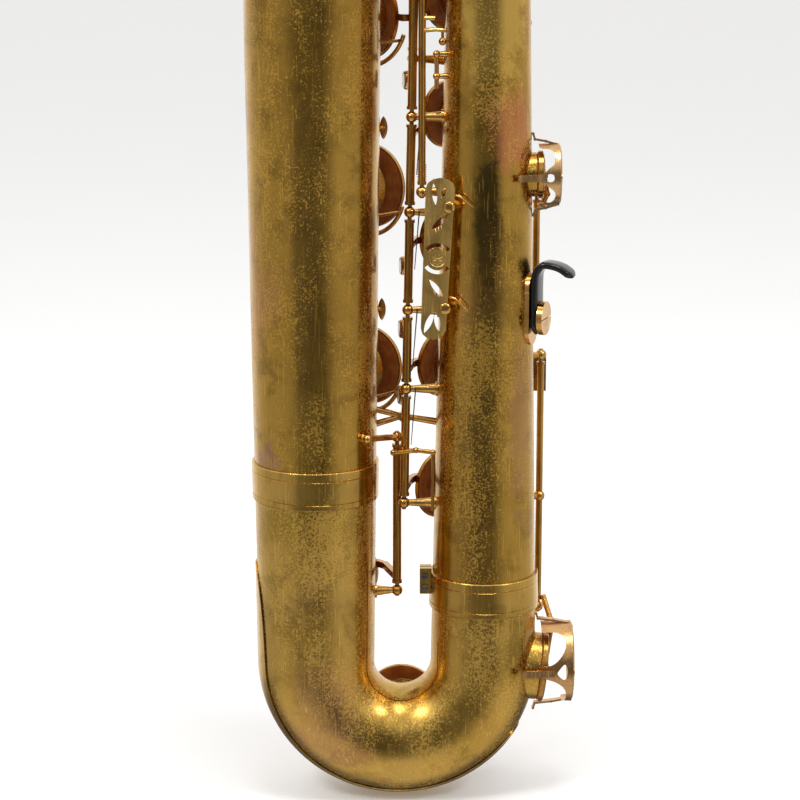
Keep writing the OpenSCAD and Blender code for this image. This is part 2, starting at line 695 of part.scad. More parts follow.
module hinge_rods() { color(steel) rods(rod_r); }

// Needle springs: each runs from a post's stem to a cradle further down its rod
module needle_springs() {
    color([0.25, 0.3, 0.38]) for (z = [317, 377, 450, 520, 640, 726]) {
        p = rod_at(z);
        bar([p[0] + 7, p[1] - 3.2, z + 1.5], [p[0] + 3.6, p[1] - 4.6, z - 42], 0.5, 0.3);
    }
}

// ---- guards, hook, rest and strap ring ----
guard_y = -31;
guard_z0 = 360;
guard_z1 = 479;

// The clothes guard's left and right edges at a height
function guard_left(z) = lerp(15.2, 18.6, (z - guard_z0) / (guard_z1 - guard_z0));
function guard_right(z) = lerp(33.6, 39.8, (z - guard_z0) / (guard_z1 - guard_z0));

module guard_outline() {
    r = 8;
    polygon(concat(
        [for (a = [0:30:180]) [lerp(guard_left(guard_z1), guard_right(guard_z1), 0.5) + 10.6 * cos(a),
            guard_z1 - r + r * sin(a)]],
        [for (a = [180:30:360]) [lerp(guard_left(guard_z0), guard_right(guard_z0), 0.5) + 9.2 * cos(a),
            guard_z0 + r + r * sin(a)]]));
}

// A pointed leaf opening, l long and w wide, turned a
module leaf(x, z, l, w, a) {
    translate([x, z]) rotate(a) intersection() {
        translate([0, (l * l - w * w) / (4 * w)]) circle(r = (l * l + w * w) / (4 * w));
        translate([0, -(l * l - w * w) / (4 * w)]) circle(r = (l * l + w * w) / (4 * w));
    }
}

module arc_slot(x, z, r, w, a0, a1) {
    translate([x, z]) difference() {
        circle(r = r + w / 2);
        circle(r = r - w / 2);
        polygon(concat([[0, 0]], [for (a = [a1:15:a0 + 360]) 3 * r * [cos(a), sin(a)]]));
    }
}

rosette_p = [27.2, 420];
guard_screw_p = [[35.6, 457.6], [33, 383.2]];

module clothes_guard() {
    color(rose) translate([0, guard_y + 1.2, 0]) rotate([90, 0, 0]) linear_extrude(height = 1.2) difference() {
        guard_outline();
        leaf(25, 467, 16, 3.6, 96);
        leaf(31.4, 468, 9, 3, 75);
        leaf(29, 447, 17, 4.4, 42);
        arc_slot(rosette_p[0], rosette_p[1], 10, 3, 40, 140);
        arc_slot(rosette_p[0], rosette_p[1], 10, 3, 220, 320);
        leaf(26.5, 398, 17, 4, 128);
        leaf(21.2, 373, 18, 4.4, 66);
        leaf(27.2, 373.6, 15, 4.2, 100);
        for (p = guard_screw_p) translate(p) circle(r = rod_r + fit);
    }
    color(rose) for (p = guard_screw_p) {
        depth = sqrt(pow(body_r(p[1]), 2) - pow(body_x - p[0], 2));
        translate([p[0], guard_y + 1.2, p[1]]) rotate([-90, 0, 0]) difference() {
            cylinder(r1 = 3, r2 = 4.2, h = -guard_y - depth - 0.6);
            translate([0, 0, -1]) cylinder(r = rod_r + fit, h = 9);
        }
    }
}

module guard_screws() {
    color(polished) {
        for (p = guard_screw_p) translate([p[0], guard_y - 0.02, p[1]]) rotate([90, 0, 0])
            rotate([0, 0, 35]) slotted_screw(4.2, 1.9, rod_r, 7);
    }
}

hook_az = -110;                   // the hook's direction, from +Y: towards the player and the near side
hook_z0 = 360;
hook_z1 = 408;
hook_base_t = 2;
hook_w = 22;
hook_cap_r = 12.5;

module hook_frame() { on_tube(body_x, hook_az, 0) translate([0, body_r(384) - 0.2, 0]) children(); }

// The plate soldered on the body, with a ridge that the hook's slot slides on
module thumb_hook_base() {
    color(polished) hook_frame() difference() {
        translate([0, hook_base_t, 0]) rotate([90, 0, 0]) linear_extrude(height = 1.5 + hook_base_t)
            strap([[0, hook_z0 + 4], [0, hook_z1 - 13]], hook_w);
        translate([0, -10, 373]) rotate([-90, 0, 0]) cylinder(r = 2.5 + fit, h = 30);
    }
}

module thumb_hook() {
    color(ebonite) hook_frame() translate([0, hook_base_t + 0.05, 0]) difference() {
        rotate([90, 0, 90]) linear_extrude(height = hook_w - 1, center = true) difference() {
            strap([[2.7, hook_z0 + 3], [2.8, hook_z1 - 4], [6, hook_z1 + 3], [12, hook_z1 + 5],
                [23, hook_z1 + 3], [30.4, hook_z1 - 2.6]], 5.6);
            translate([-10, hook_z0 - 20]) square([10, 80]);
        }
        translate([0, -10, 373]) rotate([-90, 0, 0]) cylinder(r = 2.5 + fit, h = 30);
    }
}

module thumb_hook_screw() {
    color(polished) hook_frame() translate([0, hook_base_t + 5.9, 373]) rotate([-90, 0, 0]) {
        slotted_screw(hook_cap_r, 4.2, 2.5, 7.2);
    }
}

module strap_ring() {
    color(polished) translate([strap_ring_x, 0, strap_z]) {
        rotate([90, 0, 0]) difference() {
            union() {
                cylinder(r = ring_r + 3.4, h = ring_t, center = true);
                translate([-ring_r - 9, -6, -ring_t / 2]) cube([9, 12, ring_t]);
            }
            cylinder(r = ring_r, h = ring_t + 2, center = true);
        }
        difference() {
            translate([-ring_r - 9, -9, -20]) cube([4.6, 18, 40]);
            translate([body_x - strap_ring_x, 0, -30]) cylinder(r = body_r(strap_z) - 0.4, h = 60);
        }
    }
}
strap_ring_x = body_x + body_r(strap_z) + ring_r + 6.4;

module thumb_rest() {
    color(polished) on_tube(body_x, -100, 716) translate([0, body_r(716) - 0.6, 0]) outward() {
        cylinder(r = 11, h = 3);
        translate([0, 0, 3]) cylinder(r1 = 10, r2 = 8, h = 2.4);
    }
}

// A pierced cage over a cup: a rim with a cross bar and a bumper, on three curved legs.
// The frame's +Y points out of the tube.
module cage(r, reach, legs, foot_y) {
    translate([0, reach, 0]) outward() rotate_extrude()
        polygon([[r - 6.5, 0], [r, -1.6], [r, -0.2], [r - 6.5, 1.4]]);
    translate([0, reach, 0]) rotate([-90, 0, 0]) {
        translate([0, 0, -0.5]) linear_extrude(height = 1.6) strap([[-r + 4, 0], [r - 4, 0]], 5.5);
        translate([0, 0, -2.4]) cylinder(r = 5, h = 4.6);
    }
    for (a = legs) rotate([0, a, 0]) rotate([90, 0, 90])
        linear_extrude(height = 5, center = true)
            strap([[reach + 0.1, r - 3.2], [reach - 2.6, r - 0.6], [lerp(foot_y, reach, 0.5), r + 1.6],
                [foot_y + 2, r + 3], [foot_y + 0.7, r + 7]], 1.5);
}

module e_flat_guard() {
    color(rose) on_tube(body_x, -90, e_flat_row[0]) {
        cage(31, 67.4, [180], 38);
        cage(31, 67.4, [0], 39.6);
        cage(31, 67.4, [90], 28);
    }
}

module trill_guard() {
    color(rose) on_tube(body_x, -90, trill_row[0]) {
        cage(23, 53.2, [180], 33.8);
        cage(23, 53.2, [0], 33);
        cage(23, 53.2, [90], 22);
    }
}

// A wire arc over the near lower side of a bell cup, on two legs
module wire_guard(r, h) {
    rg = r + 5;
    translate([0, h, 0]) rotate([-90, 0, 0]) rotate([0, 0, 20])
        rotate_extrude(angle = 70) translate([rg, 0]) circle(r = 1.7);
    for (a = [27, 83]) {
        foot = sqrt(max(1, pow(guard_tube_r, 2) - pow(rg * cos(a), 2)));
        bar([rg * cos(a), h + 0.4, -rg * sin(a)], [rg * cos(a) * 0.98, foot - 0.5, -rg * sin(a)], 1.3);
    }
}
guard_tube_r = 46.5;              // radius of the bell where the wires' feet stand

module bell_key_guards() {
    color(polished) for (row = bell_rows)
        on_tube(bell_x, bell_az, row[0]) wire_guard(row[1], bell_r(row[0]) + chimney + 8);
}

// ---- keys with upright hinges. A frame: x of the tube, az, [height, cup radius], rim height h ----

// Turns a key open: its rod is at p, sign says which way is open
module standing_key(x, az, row, h, rod, arm_z, z0, z1, angle) {
    q = local(rod, x, az);
    side = q[0] < 0 ? -1 : 1;
    swing(rod, -side * angle) {
        on_tube(x, az, row[0]) {
            cup(row[1], h);
            cup_rib(row[1], h);
        }
        on_tube(x, az, arm_z) cup_arm(q, row[1], h, side);
        hinge_tube(rod, z0, z1);
    }
}

// A closed key whose cup lies beyond the end of its hinge tube, on a slanting arm
module end_key(x, az, row, h, rod, z0, z1, arm_from, r, tilt = 0) {
    on_tube(x, az, row[0], tilt) {
        cup(row[1], h);
        cup_rib(row[1], h);
    }
    back = x + h + pad_t + 3;
    inner = row[0] < arm_from ? row[0] + 4 : row[0] - 4;
    edge = lerp(inner, arm_from, 0.55);
    elbow = [back + 1.6 + row[1] * sin(abs(tilt)) * 0.8, rod[1] * 0.45, edge];
    bar([rod[0] + 4, rod[1] - 1.6, arm_from], elbow, 2.2);
    bar(elbow, [back, 2, inner], 2.2, 1.6);
    translate(elbow) sphere(r = 2.7);
    hinge_tube(rod, z0, z1, r);
}

module standing_pad(x, az, row, h, rod, angle, tilt = 0) {
    q = local(rod, x, az);
    side = q[0] < 0 ? -1 : 1;
    swing(rod, -side * angle) on_tube(x, az, row[0], tilt) pad(row[1], h);
}

function bell_h(row) = bell_r(row[0]) + chimney + 1;
bell_open = 7;
a_open = 7;
low_c_open = 5.6;

module low_a_key() {
    color(brass) {
        standing_key(bell_x, bell_az, low_a_row, bell_h(low_a_row), a_rod, 590, 566, 678, a_open);
        swing(a_rod, -a_open) translate([a_rod[0], a_rod[1], 676]) difference() {
            linear_extrude(height = 4, center = true) strap([[0, 0], [2, 19], [23, 40]], 5);
            translate([0, 0, -5]) cylinder(r = rod_r + fit + 0.6, h = 10);
        }
        swing(a_rod, -a_open) translate([a_rod[0] + 24, a_rod[1] + 41, 676]) rotate([0, 90, 42])
            cylinder(r = 9, h = 3, center = true);
    }
}
module low_a_pad() {
    color(pad_brown) standing_pad(bell_x, bell_az, low_a_row, bell_h(low_a_row), a_rod, a_open);
}

module low_b_flat_key() {
    color(brass) standing_key(bell_x, bell_az, low_b_flat_row, bell_h(low_b_flat_row), b_rod, 463, 398, 494,
        bell_open);
}
module low_b_flat_pad() {
    color(pad_brown) standing_pad(bell_x, bell_az, low_b_flat_row, bell_h(low_b_flat_row), b_rod, bell_open);
}
module low_b_key() {
    color(brass) standing_key(bell_x, bell_az, low_b_row, bell_h(low_b_row), b_rod, 325, 301, 386,
                              bell_open);
}
module low_b_pad() {
    color(pad_brown) standing_pad(bell_x, bell_az, low_b_row, bell_h(low_b_row), b_rod, bell_open);
}

// The low C sharp key's crank: it passes in front of the stack's rod to an upright link
crank = [[c_sharp_rod[0] - 0.8, c_sharp_rod[1] - 2.7, 267.6], [-5, -12, 270],
         [12, -19, 273.5], [24.5, -19, 272]];

module low_c_sharp_key() {
    color(brass) {
        standing_key(bell_x, c_sharp_az, low_c_sharp_row, low_c_sharp_h, c_sharp_rod, 168, 163.4, 272.6, 0);
        difference() {
            union() {
                for (i = [0:len(crank) - 2]) bar(crank[i], crank[i + 1], 2 - i * 0.15);
                for (i = [1:len(crank) - 1]) translate(crank[i]) sphere(r = 2.5 - i * 0.1);
                bar(crank[3] - [0, 0, 45], crank[3], 1.2);
            }
            translate([c_sharp_rod[0], c_sharp_rod[1], 250]) cylinder(r = rod_r + fit + 0.6, h = 30);
        }
    }
}
module low_c_sharp_pad() {
    color(pad_brown) standing_pad(bell_x, c_sharp_az, low_c_sharp_row, low_c_sharp_h, c_sharp_rod, 0);
}

module low_c_key() {
    color(brass) {
        standing_key(low_c_x, 0, low_c_row, low_c_h, c_rod, 60, 53.4, 194.6, low_c_open);
        swing(c_rod, -low_c_open) touch_plate(c_rod, 180, [10, 14], 40);
    }
}

module e_flat_key() {
    color(brass) {
        end_key(body_x, -90, e_flat_row, e_flat_h, e_flat_rod, 143, 331, 146, guided_r, e_flat_tilt);
        touch_plate(e_flat_rod, 318, [-4, 16], 0);
    }
}

// A little finger's plate on an arm from an upright rod
module touch_plate(rod, z, reach, turn) {
    translate([rod[0], rod[1], z]) {
        difference() {
            linear_extrude(height = 4, center = true) strap([[0, 0], reach], 4.2);
            translate([0, 0, -5]) cylinder(r = rod_r + fit + 0.4, h = 10);
        }
        translate([reach[0], reach[1], 0]) rotate([0, 0, turn]) cube([18, 2.6, 26], center = true);
    }
}

module e_flat_pad() {
    color(pad_brown) standing_pad(body_x, -90, e_flat_row, e_flat_h, e_flat_rod, 0, e_flat_tilt);
}

module d_key() { color(brass) { stack_key(d_row); swing_stack(stack_angle(d_row)) touch_arm(305); } }
module d_pad() { color(pad_brown) stack_pad(d_row); }
module e_key() { color(brass) { stack_key(e_row); swing_stack(stack_angle(e_row)) touch_arm(356); } }
module e_pad() { color(pad_brown) stack_pad(e_row); }
module f_key() { color(brass) { stack_key(f_row); swing_stack(stack_angle(f_row)) touch_arm(404); } }
module f_sharp_key() { color(brass) stack_key(f_sharp_row); }
module f_sharp_pad() { color(pad_brown) stack_pad(f_sharp_row); }
module g_key() { color(brass) { stack_key(g_row); swing_stack(stack_angle(g_row)) touch_arm(542); } }
module g_pad() { color(pad_brown) stack_pad(g_row); }
module a_key() { color(brass) stack_key(a_row); }
module b_key() { color(brass) stack_key(b_row); }
module c_key() { color(brass) stack_key(c_row); }

module g_sharp_key() {
    color(brass) standing_key(body_x, g_sharp_az, g_sharp_row, body_r(g_sharp_row[0]) + chimney, g_sharp_rod, 561,
        543.6, 580.4, 0);
}

// The little finger's lever: a long hinge tube with a knurled lower end and a touch plate
module g_sharp_lever() {
    color(brass) {
        hinge_tube(lever_rod, 471.4, 656.4, 2.7);
        translate([lever_rod[0], lever_rod[1], 646]) difference() {
            linear_extrude(height = 4, center = true) strap([[0, 0], [4, -20], [14, -33]], 4.6);
            translate([0, 0, -5]) cylinder(r = rod_r + fit + 0.4, h = 10);
        }
        translate([lever_rod[0] + 15, lever_rod[1] - 35, 634]) rotate([0, 0, 35]) cube([20, 2.4, 28], center = true);
    }
}

module side_trill_key() {
    color(brass) end_key(body_x, -90, trill_row, trill_h, trill_rod, 402, 456, 452, 2.6);
}
module side_trill_pad() {
    color(pad_brown) standing_pad(body_x, -90, trill_row, trill_h, trill_rod, 0);
}

module palm_key() {
    color(brass) {
        standing_key(body_x, palm_az, palm_row, body_r(palm_row[0]) + chimney, palm_rod, 838, 805.6, 856.4, 0);
        touch_plate(palm_rod, 814, [8, -12], 20);
    }
}

module octave_key() {
    color(brass) {
        standing_key(body_x, octave_az, octave_row, body_r(octave_row[0]) + chimney, octave_rod, 872, 747.6, 878.4,
            0);
        touch_plate(octave_rod, 762, [5, -14], 80);
    }
}

// The octave key on the neck: a saddle's hinge pin, a long arm and a small cup over the vent
module neck_octave_key() {
    color(brass) at_neck_end() translate([-neck_vent_x, 0, -neck_vent_l]) {
        difference() {
            union() {
                translate([-2, -9, 0]) rotate([-90, 0, 0]) cylinder(r = 2.6, h = 18);
                rotate([90, 0, 0]) linear_extrude(height = 5, center = true)
                    strap([[-5, 34], [-5, 18], [-2, 0], [-5, -14], [-3.4, -30]], 2.6);
            }
            translate([-2, -10, 0]) rotate([-90, 0, 0]) cylinder(r = rod_r + fit, h = 20);
        }
        translate([-3.6, 0, -30]) rotate([0, 90, 0]) cylinder(r = 5, h = 2);
    }
}
neck_vent_x = 14;
neck_vent_l = 58;

// The water key: a lever with a cork button under the loop's lowest point
water_z = loop_z - loop_r - loop_pipe_r;
module water_key() {
    color(brass) at_water() {
        difference() {
            union() {
                rotate([90, 0, 0]) linear_extrude(height = 4, center = true)
                    strap([[-9, -2.6], [0, -4], [17, -3.4], [28, -3]], 2.6);
                translate([9, -6, -3]) rotate([-90, 0, 0]) cylinder(r = 2.9, h = 12);
            }
            translate([9, -7, -3]) rotate([-90, 0, 0]) cylinder(r = rod_r + fit, h = 14);
        }
        translate([-4, 0, -4.4]) cylinder(r = 4.6, h = 3.6);
    }
}
module at_water() {
    translate([down_x, 0, 0]) rotate([0, 0, loop_turn]) translate([loop_r, 0, water_z - 0.2]) children();
}

// ---- the whole, with its origin at the strap ring ----
module at_ring() { translate([-strap_ring_x, 0, -strap_z]) children(); }

at_ring() body_tube();
at_ring() bow();
at_ring() bell();
at_ring() bell_ferrule();
at_ring() body_ferrule();
at_ring() clamp_screws();
at_ring() bell_brace();
at_ring() upper_arch();
at_ring() lower_loop();
at_ring() loop_ferrules();
at_ring() neck_receiver();
at_ring() neck();
at_ring() neck_cork();
at_ring() mouthpiece();
at_ring() ligature();
at_ring() reed();
at_ring() key_posts();
at_ring() hinge_rods();
at_ring() needle_springs();
at_ring() clothes_guard();
at_ring() guard_screws();
at_ring() thumb_hook();
at_ring() thumb_hook_base();
at_ring() thumb_hook_screw();
at_ring() strap_ring();
at_ring() thumb_rest();
at_ring() e_flat_guard();
at_ring() trill_guard();
at_ring() bell_key_guards();
at_ring() low_a_key();
at_ring() low_a_pad();
at_ring() low_b_flat_key();
at_ring() low_b_flat_pad();
at_ring() low_b_key();
at_ring() low_b_pad();
at_ring() low_c_sharp_key();
at_ring() low_c_sharp_pad();
at_ring() low_c_key();
at_ring() e_flat_key();
at_ring() e_flat_pad();
at_ring() d_key();
at_ring() d_pad();
at_ring() e_key();
at_ring() e_pad();
at_ring() f_key();
at_ring() f_sharp_key();
at_ring() f_sharp_pad();
at_ring() g_key();
at_ring() g_pad();
at_ring() g_sharp_key();
at_ring() g_sharp_lever();
at_ring() a_key();
at_ring() b_key();
at_ring() c_key();
at_ring() side_trill_key();
at_ring() side_trill_pad();
at_ring() palm_key();
at_ring() octave_key();
at_ring() neck_octave_key();
at_ring() water_key();
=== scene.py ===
"""The looks of the low-A baritone saxophone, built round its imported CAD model."""

import json
import math

import bmesh
import bpy
from mathutils import Matrix, Vector


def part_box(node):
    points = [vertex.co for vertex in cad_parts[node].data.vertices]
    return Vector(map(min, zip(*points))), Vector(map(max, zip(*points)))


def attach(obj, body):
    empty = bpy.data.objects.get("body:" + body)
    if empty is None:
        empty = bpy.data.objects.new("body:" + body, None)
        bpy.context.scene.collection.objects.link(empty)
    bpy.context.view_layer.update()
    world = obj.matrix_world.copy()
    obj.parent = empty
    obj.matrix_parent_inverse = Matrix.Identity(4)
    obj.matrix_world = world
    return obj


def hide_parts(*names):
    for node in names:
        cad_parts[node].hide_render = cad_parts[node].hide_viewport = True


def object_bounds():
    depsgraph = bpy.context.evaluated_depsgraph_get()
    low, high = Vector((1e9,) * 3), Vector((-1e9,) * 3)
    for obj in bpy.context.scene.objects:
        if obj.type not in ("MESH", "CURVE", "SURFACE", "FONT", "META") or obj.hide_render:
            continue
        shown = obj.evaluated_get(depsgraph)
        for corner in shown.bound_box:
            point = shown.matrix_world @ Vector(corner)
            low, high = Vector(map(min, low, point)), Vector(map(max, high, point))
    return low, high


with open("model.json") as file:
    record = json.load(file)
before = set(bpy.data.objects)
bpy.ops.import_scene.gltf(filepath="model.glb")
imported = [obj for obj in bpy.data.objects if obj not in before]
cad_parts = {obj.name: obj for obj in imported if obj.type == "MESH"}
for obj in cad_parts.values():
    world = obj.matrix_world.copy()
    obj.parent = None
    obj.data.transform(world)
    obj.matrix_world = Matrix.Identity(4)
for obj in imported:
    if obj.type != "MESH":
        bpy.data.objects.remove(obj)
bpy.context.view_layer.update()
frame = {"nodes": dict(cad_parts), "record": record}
NODES = frame["nodes"]

# ---- the row frame and the tubes' own millimetre frame ----
# Shapes are made in millimetres with X = 0 midway between the tubes, Y = 0 on their axes and
# Z = 0 at the lowest point of the bow, as in the CAD source, and moved to the row frame at the end.

MM = 0.001
TUBE_GAP = 127.5
BELL_X, BODY_X = -TUBE_GAP / 2, TUBE_GAP / 2
ring_low, ring_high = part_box("bell_ferrule")
bow_low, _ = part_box("bow")
TO_ROW = Matrix.Translation((
    (ring_low.x + ring_high.x) / 2 - BELL_X * MM,
    (ring_low.y + ring_high.y) / 2,
    bow_low.z,
)) @ Matrix.Scale(MM, 4)

BEND_Z, BEND_R = 105.0, TUBE_GAP / 2
BELL_JOINT_Z, BODY_JOINT_Z = 248.0, 162.0
CHIMNEY = 5.0
PAD_T = 4.0
WALL = 1.2
RIM_IN = 1.3
BODY_SLOPE = 0.01875
BOW_R = (44.2, 41.3, 40.3)
LOW_C_X, LOW_C_Z, LOW_C_R = 2, 50, 30
C_SHARP_AZ, C_SHARP_Z, C_SHARP_R = -23, 162, 28
E_FLAT_Z, E_FLAT_R, E_FLAT_TILT = 103, 27, -6
TRILL_Z, TRILL_R = 477.5, 17.6


def body_r(z):
    return (77.6 - (z - 183) * 2 * BODY_SLOPE) / 2


def bell_r(z):
    return (89.4 + (z - 151) * 0.023) / 2


def rim_of(r):
    """Outer radius of the tone hole's rim under a cup of radius r."""
    return r - min(8, 0.3 * r)


def lerp(a, b, t):
    return a + (b - a) * t


def turn(degrees, axis):
    return Matrix.Rotation(math.radians(degrees), 4, axis)


def shift(x, y, z):
    return Matrix.Translation((x, y, z))


OUTWARD = turn(-90, "X")


def on_tube(x, azimuth, z, tilt=0):
    """The frame of a tube at a height: +Y points out of the tube."""
    return shift(x, 0, z) @ turn(azimuth, "Z") @ turn(tilt, "X")


def swing(rod, degrees):
    return shift(rod[0], rod[1], 0) @ turn(degrees, "Z") @ shift(-rod[0], -rod[1], 0)


# ---- meshes ----

def piece(name, verts, faces, material, body, slot, angle=38):
    """A mesh from millimetre points, smooth up to an edge angle, riding on a CAD body."""
    mesh = bpy.data.meshes.new(name)
    mesh.from_pydata([TO_ROW @ Vector(v) for v in verts], [], faces)
    return finished(name, mesh, material, body, angle)


def finished(name, mesh, material, body, angle=38):
    bm = bmesh.new()
    bm.from_mesh(mesh)
    bmesh.ops.remove_doubles(bm, verts=bm.verts, dist=1e-7)
    bmesh.ops.recalc_face_normals(bm, faces=bm.faces)
    bm.to_mesh(mesh)
    bm.free()
    mesh.polygons.foreach_set("use_smooth", [True] * len(mesh.polygons))
    mesh.set_sharp_from_angle(angle=math.radians(angle))
    mesh.materials.clear()
    mesh.materials.append(material)
    made = bpy.data.objects.new(name, mesh)
    bpy.context.scene.collection.objects.link(made)
    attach(made, body)
    return made


def moved(shape, matrix):
    verts, faces = shape
    return [matrix @ Vector(v) for v in verts], faces


def joined(*shapes):
    verts, faces = [], []
    for v, f in shapes:
        faces += [[i + len(verts) for i in face] for face in f]
        verts += list(v)
    return verts, faces


def lathe(profile, steps=72, closed=False):
    """Turns (radius, height) points round +Z. A closed profile is a ring's section."""
    verts, rows = [], []
    for r, z in profile:
        if r < 1e-6:
            rows.append([len(verts)] * steps)
            verts.append((0, 0, z))
            continue
        rows.append(list(range(len(verts), len(verts) + steps)))
        for i in range(steps):
            a = 2 * math.pi * i / steps
            verts.append((r * math.cos(a), r * math.sin(a), z))
    pairs = list(zip(rows, rows[1:]))
    if closed:
        pairs.append((rows[-1], rows[0]))
    faces = []
    for low, high in pairs:
        for i in range(steps):
            j = (i + 1) % steps
            face = list(dict.fromkeys([low[i], low[j], high[j], high[i]]))
            if len(face) > 2:
                faces.append(face)
    return verts, faces


def loft(rings, capped=True):
    """Joins rings of equal count, with a flat cap at each end."""
    n = len(rings[0])
    verts = [p for ring in rings for p in ring]
    faces = [
        [j * n + i, j * n + (i + 1) % n, (j + 1) * n + (i + 1) % n, (j + 1) * n + i]
        for j in range(len(rings) - 1) for i in range(n)
    ]
    if capped:
        faces.append(list(range(n)))
        faces.append(list(range((len(rings) - 1) * n, len(rings) * n)))
    return verts, faces


def smooth_path(points, per_span=8):
    """A Catmull-Rom curve through the points."""
    points = [Vector(p) for p in points]
    ends = [2 * points[0] - points[1]] + points + [2 * points[-1] - points[-2]]
    path = []
    for a, b, c, d in zip(ends, ends[1:], ends[2:], ends[3:]):
        for k in range(per_span):
            t = k / per_span
            path.append(0.5 * (2 * b + (c - a) * t + (2 * a - 5 * b + 4 * c - d) * t * t
                               + (3 * b - a - 3 * c + d) * t ** 3))
    return path + [points[-1]]


def bar(path, radius, sides=14):
    """A round bar along a path; radius is a number or a function of the share along it."""
    path = [Vector(p) for p in path]
    across = None
    rings = []
    for k, p in enumerate(path):
        ahead = (path[min(k + 1, len(path) - 1)] - path[max(k - 1, 0)]).normalized()
        if across is None:
            across = ahead.orthogonal().normalized()
        across = (across - ahead * across.dot(ahead)).normalized()
        up = ahead.cross(across)
        r = radius(k / (len(path) - 1)) if callable(radius) else radius
        rings.append([p + (across * math.cos(a) + up * math.sin(a)) * r
                      for a in (2 * math.pi * i / sides for i in range(sides))])
    return loft(rings)


# ---- materials ----

class Tree:
    """Builds a node tree with short calls."""

    def __init__(self, tree):
        self.nodes = tree.nodes
        self.links = tree.links
        self.nodes.clear()

    def put(self, socket, value):
        """Links a socket to another one, or sets its value."""
        if isinstance(value, bpy.types.NodeSocket):
            self.links.new(value, socket)
        elif isinstance(value, tuple) and len(value) == 3 and len(socket.default_value) == 4:
            socket.default_value = (*value, 1)
        else:
            socket.default_value = value

    def span(self, value, low, high, to_low=0.0, to_high=1.0):
        """A smooth step from one range to another."""
        node = self.nodes.new("ShaderNodeMapRange")
        node.interpolation_type = "SMOOTHSTEP"
        for socket, v in zip(node.inputs[:5], (value, low, high, to_low, to_high)):
            self.put(socket, v)
        return node.outputs[0]

    def math(self, kind, a, b=0.0):
        node = self.nodes.new("ShaderNodeMath")
        node.operation = kind
        self.put(node.inputs[0], a)
        self.put(node.inputs[1], b)
        return node.outputs[0]

    def mix(self, share, a, b):
        node = self.nodes.new("ShaderNodeMix")
        node.data_type = "RGBA"
        self.put(node.inputs["Factor"], share)
        self.put(node.inputs[6], a)
        self.put(node.inputs[7], b)
        return node.outputs[2]


class Finish(Tree):
    """Builds one material: a principled shader whose inputs are worked out from noises."""

    def __init__(self, name):
        self.material = bpy.data.materials.new(name)
        self.material.use_nodes = True
        super().__init__(self.material.node_tree)
        self.shader = self.nodes.new("ShaderNodeBsdfPrincipled")
        output = self.nodes.new("ShaderNodeOutputMaterial")
        self.links.new(self.shader.outputs[0], output.inputs[0])
        self.place = self.nodes.new("ShaderNodeTexCoord").outputs["Object"]

    def set(self, **values):
        for name, value in values.items():
            self.put(self.shader.inputs[name.replace("_", " ")], value)

    def stretched(self, x, y, z, tilt=0.0):
        node = self.nodes.new("ShaderNodeMapping")
        self.put(node.inputs["Vector"], self.place)
        node.inputs["Scale"].default_value = (x, y, z)
        node.inputs["Rotation"].default_value = (0, tilt, 0)
        return node.outputs[0]

    def noise(self, scale, detail=3.0, rough=0.5, place=None, warp=0.0):
        node = self.nodes.new("ShaderNodeTexNoise")
        self.put(node.inputs["Vector"], place or self.place)
        node.inputs["Scale"].default_value = scale
        node.inputs["Detail"].default_value = detail
        node.inputs["Roughness"].default_value = rough
        node.inputs["Distortion"].default_value = warp
        return node.outputs["Fac"]

    def cells(self, scale, place=None):
        node = self.nodes.new("ShaderNodeTexVoronoi")
        node.feature = "DISTANCE_TO_EDGE"
        self.put(node.inputs["Vector"], place or self.place)
        node.inputs["Scale"].default_value = scale
        return node.outputs["Distance"]

    def near(self, centre, size, wobble):
        """1 inside an ellipsoid given in the tubes' millimetres, fading out with a ragged edge."""
        at = TO_ROW @ Vector(centre)
        scale = [1000 / s for s in size]
        node = self.nodes.new("ShaderNodeMapping")
        self.put(node.inputs["Vector"], self.place)
        node.inputs["Scale"].default_value = scale
        node.inputs["Location"].default_value = [-a * s for a, s in zip(at, scale)]
        length = self.nodes.new("ShaderNodeVectorMath")
        length.operation = "LENGTH"
        self.put(length.inputs[0], node.outputs[0])
        ragged = self.math("ADD", length.outputs["Value"],
                           self.span(self.noise(60, 5, 0.7), 0.3, 0.7, -wobble, wobble))
        return self.span(ragged, 0.55, 1.05, 1.0, 0.0)

    def bump(self, height, distance, strength=1.0, normal=None):
        node = self.nodes.new("ShaderNodeBump")
        self.put(node.inputs["Height"], height)
        node.inputs["Distance"].default_value = distance
        node.inputs["Strength"].default_value = strength
        if normal is not None:
            self.put(node.inputs["Normal"], normal)
        return node.outputs[0]


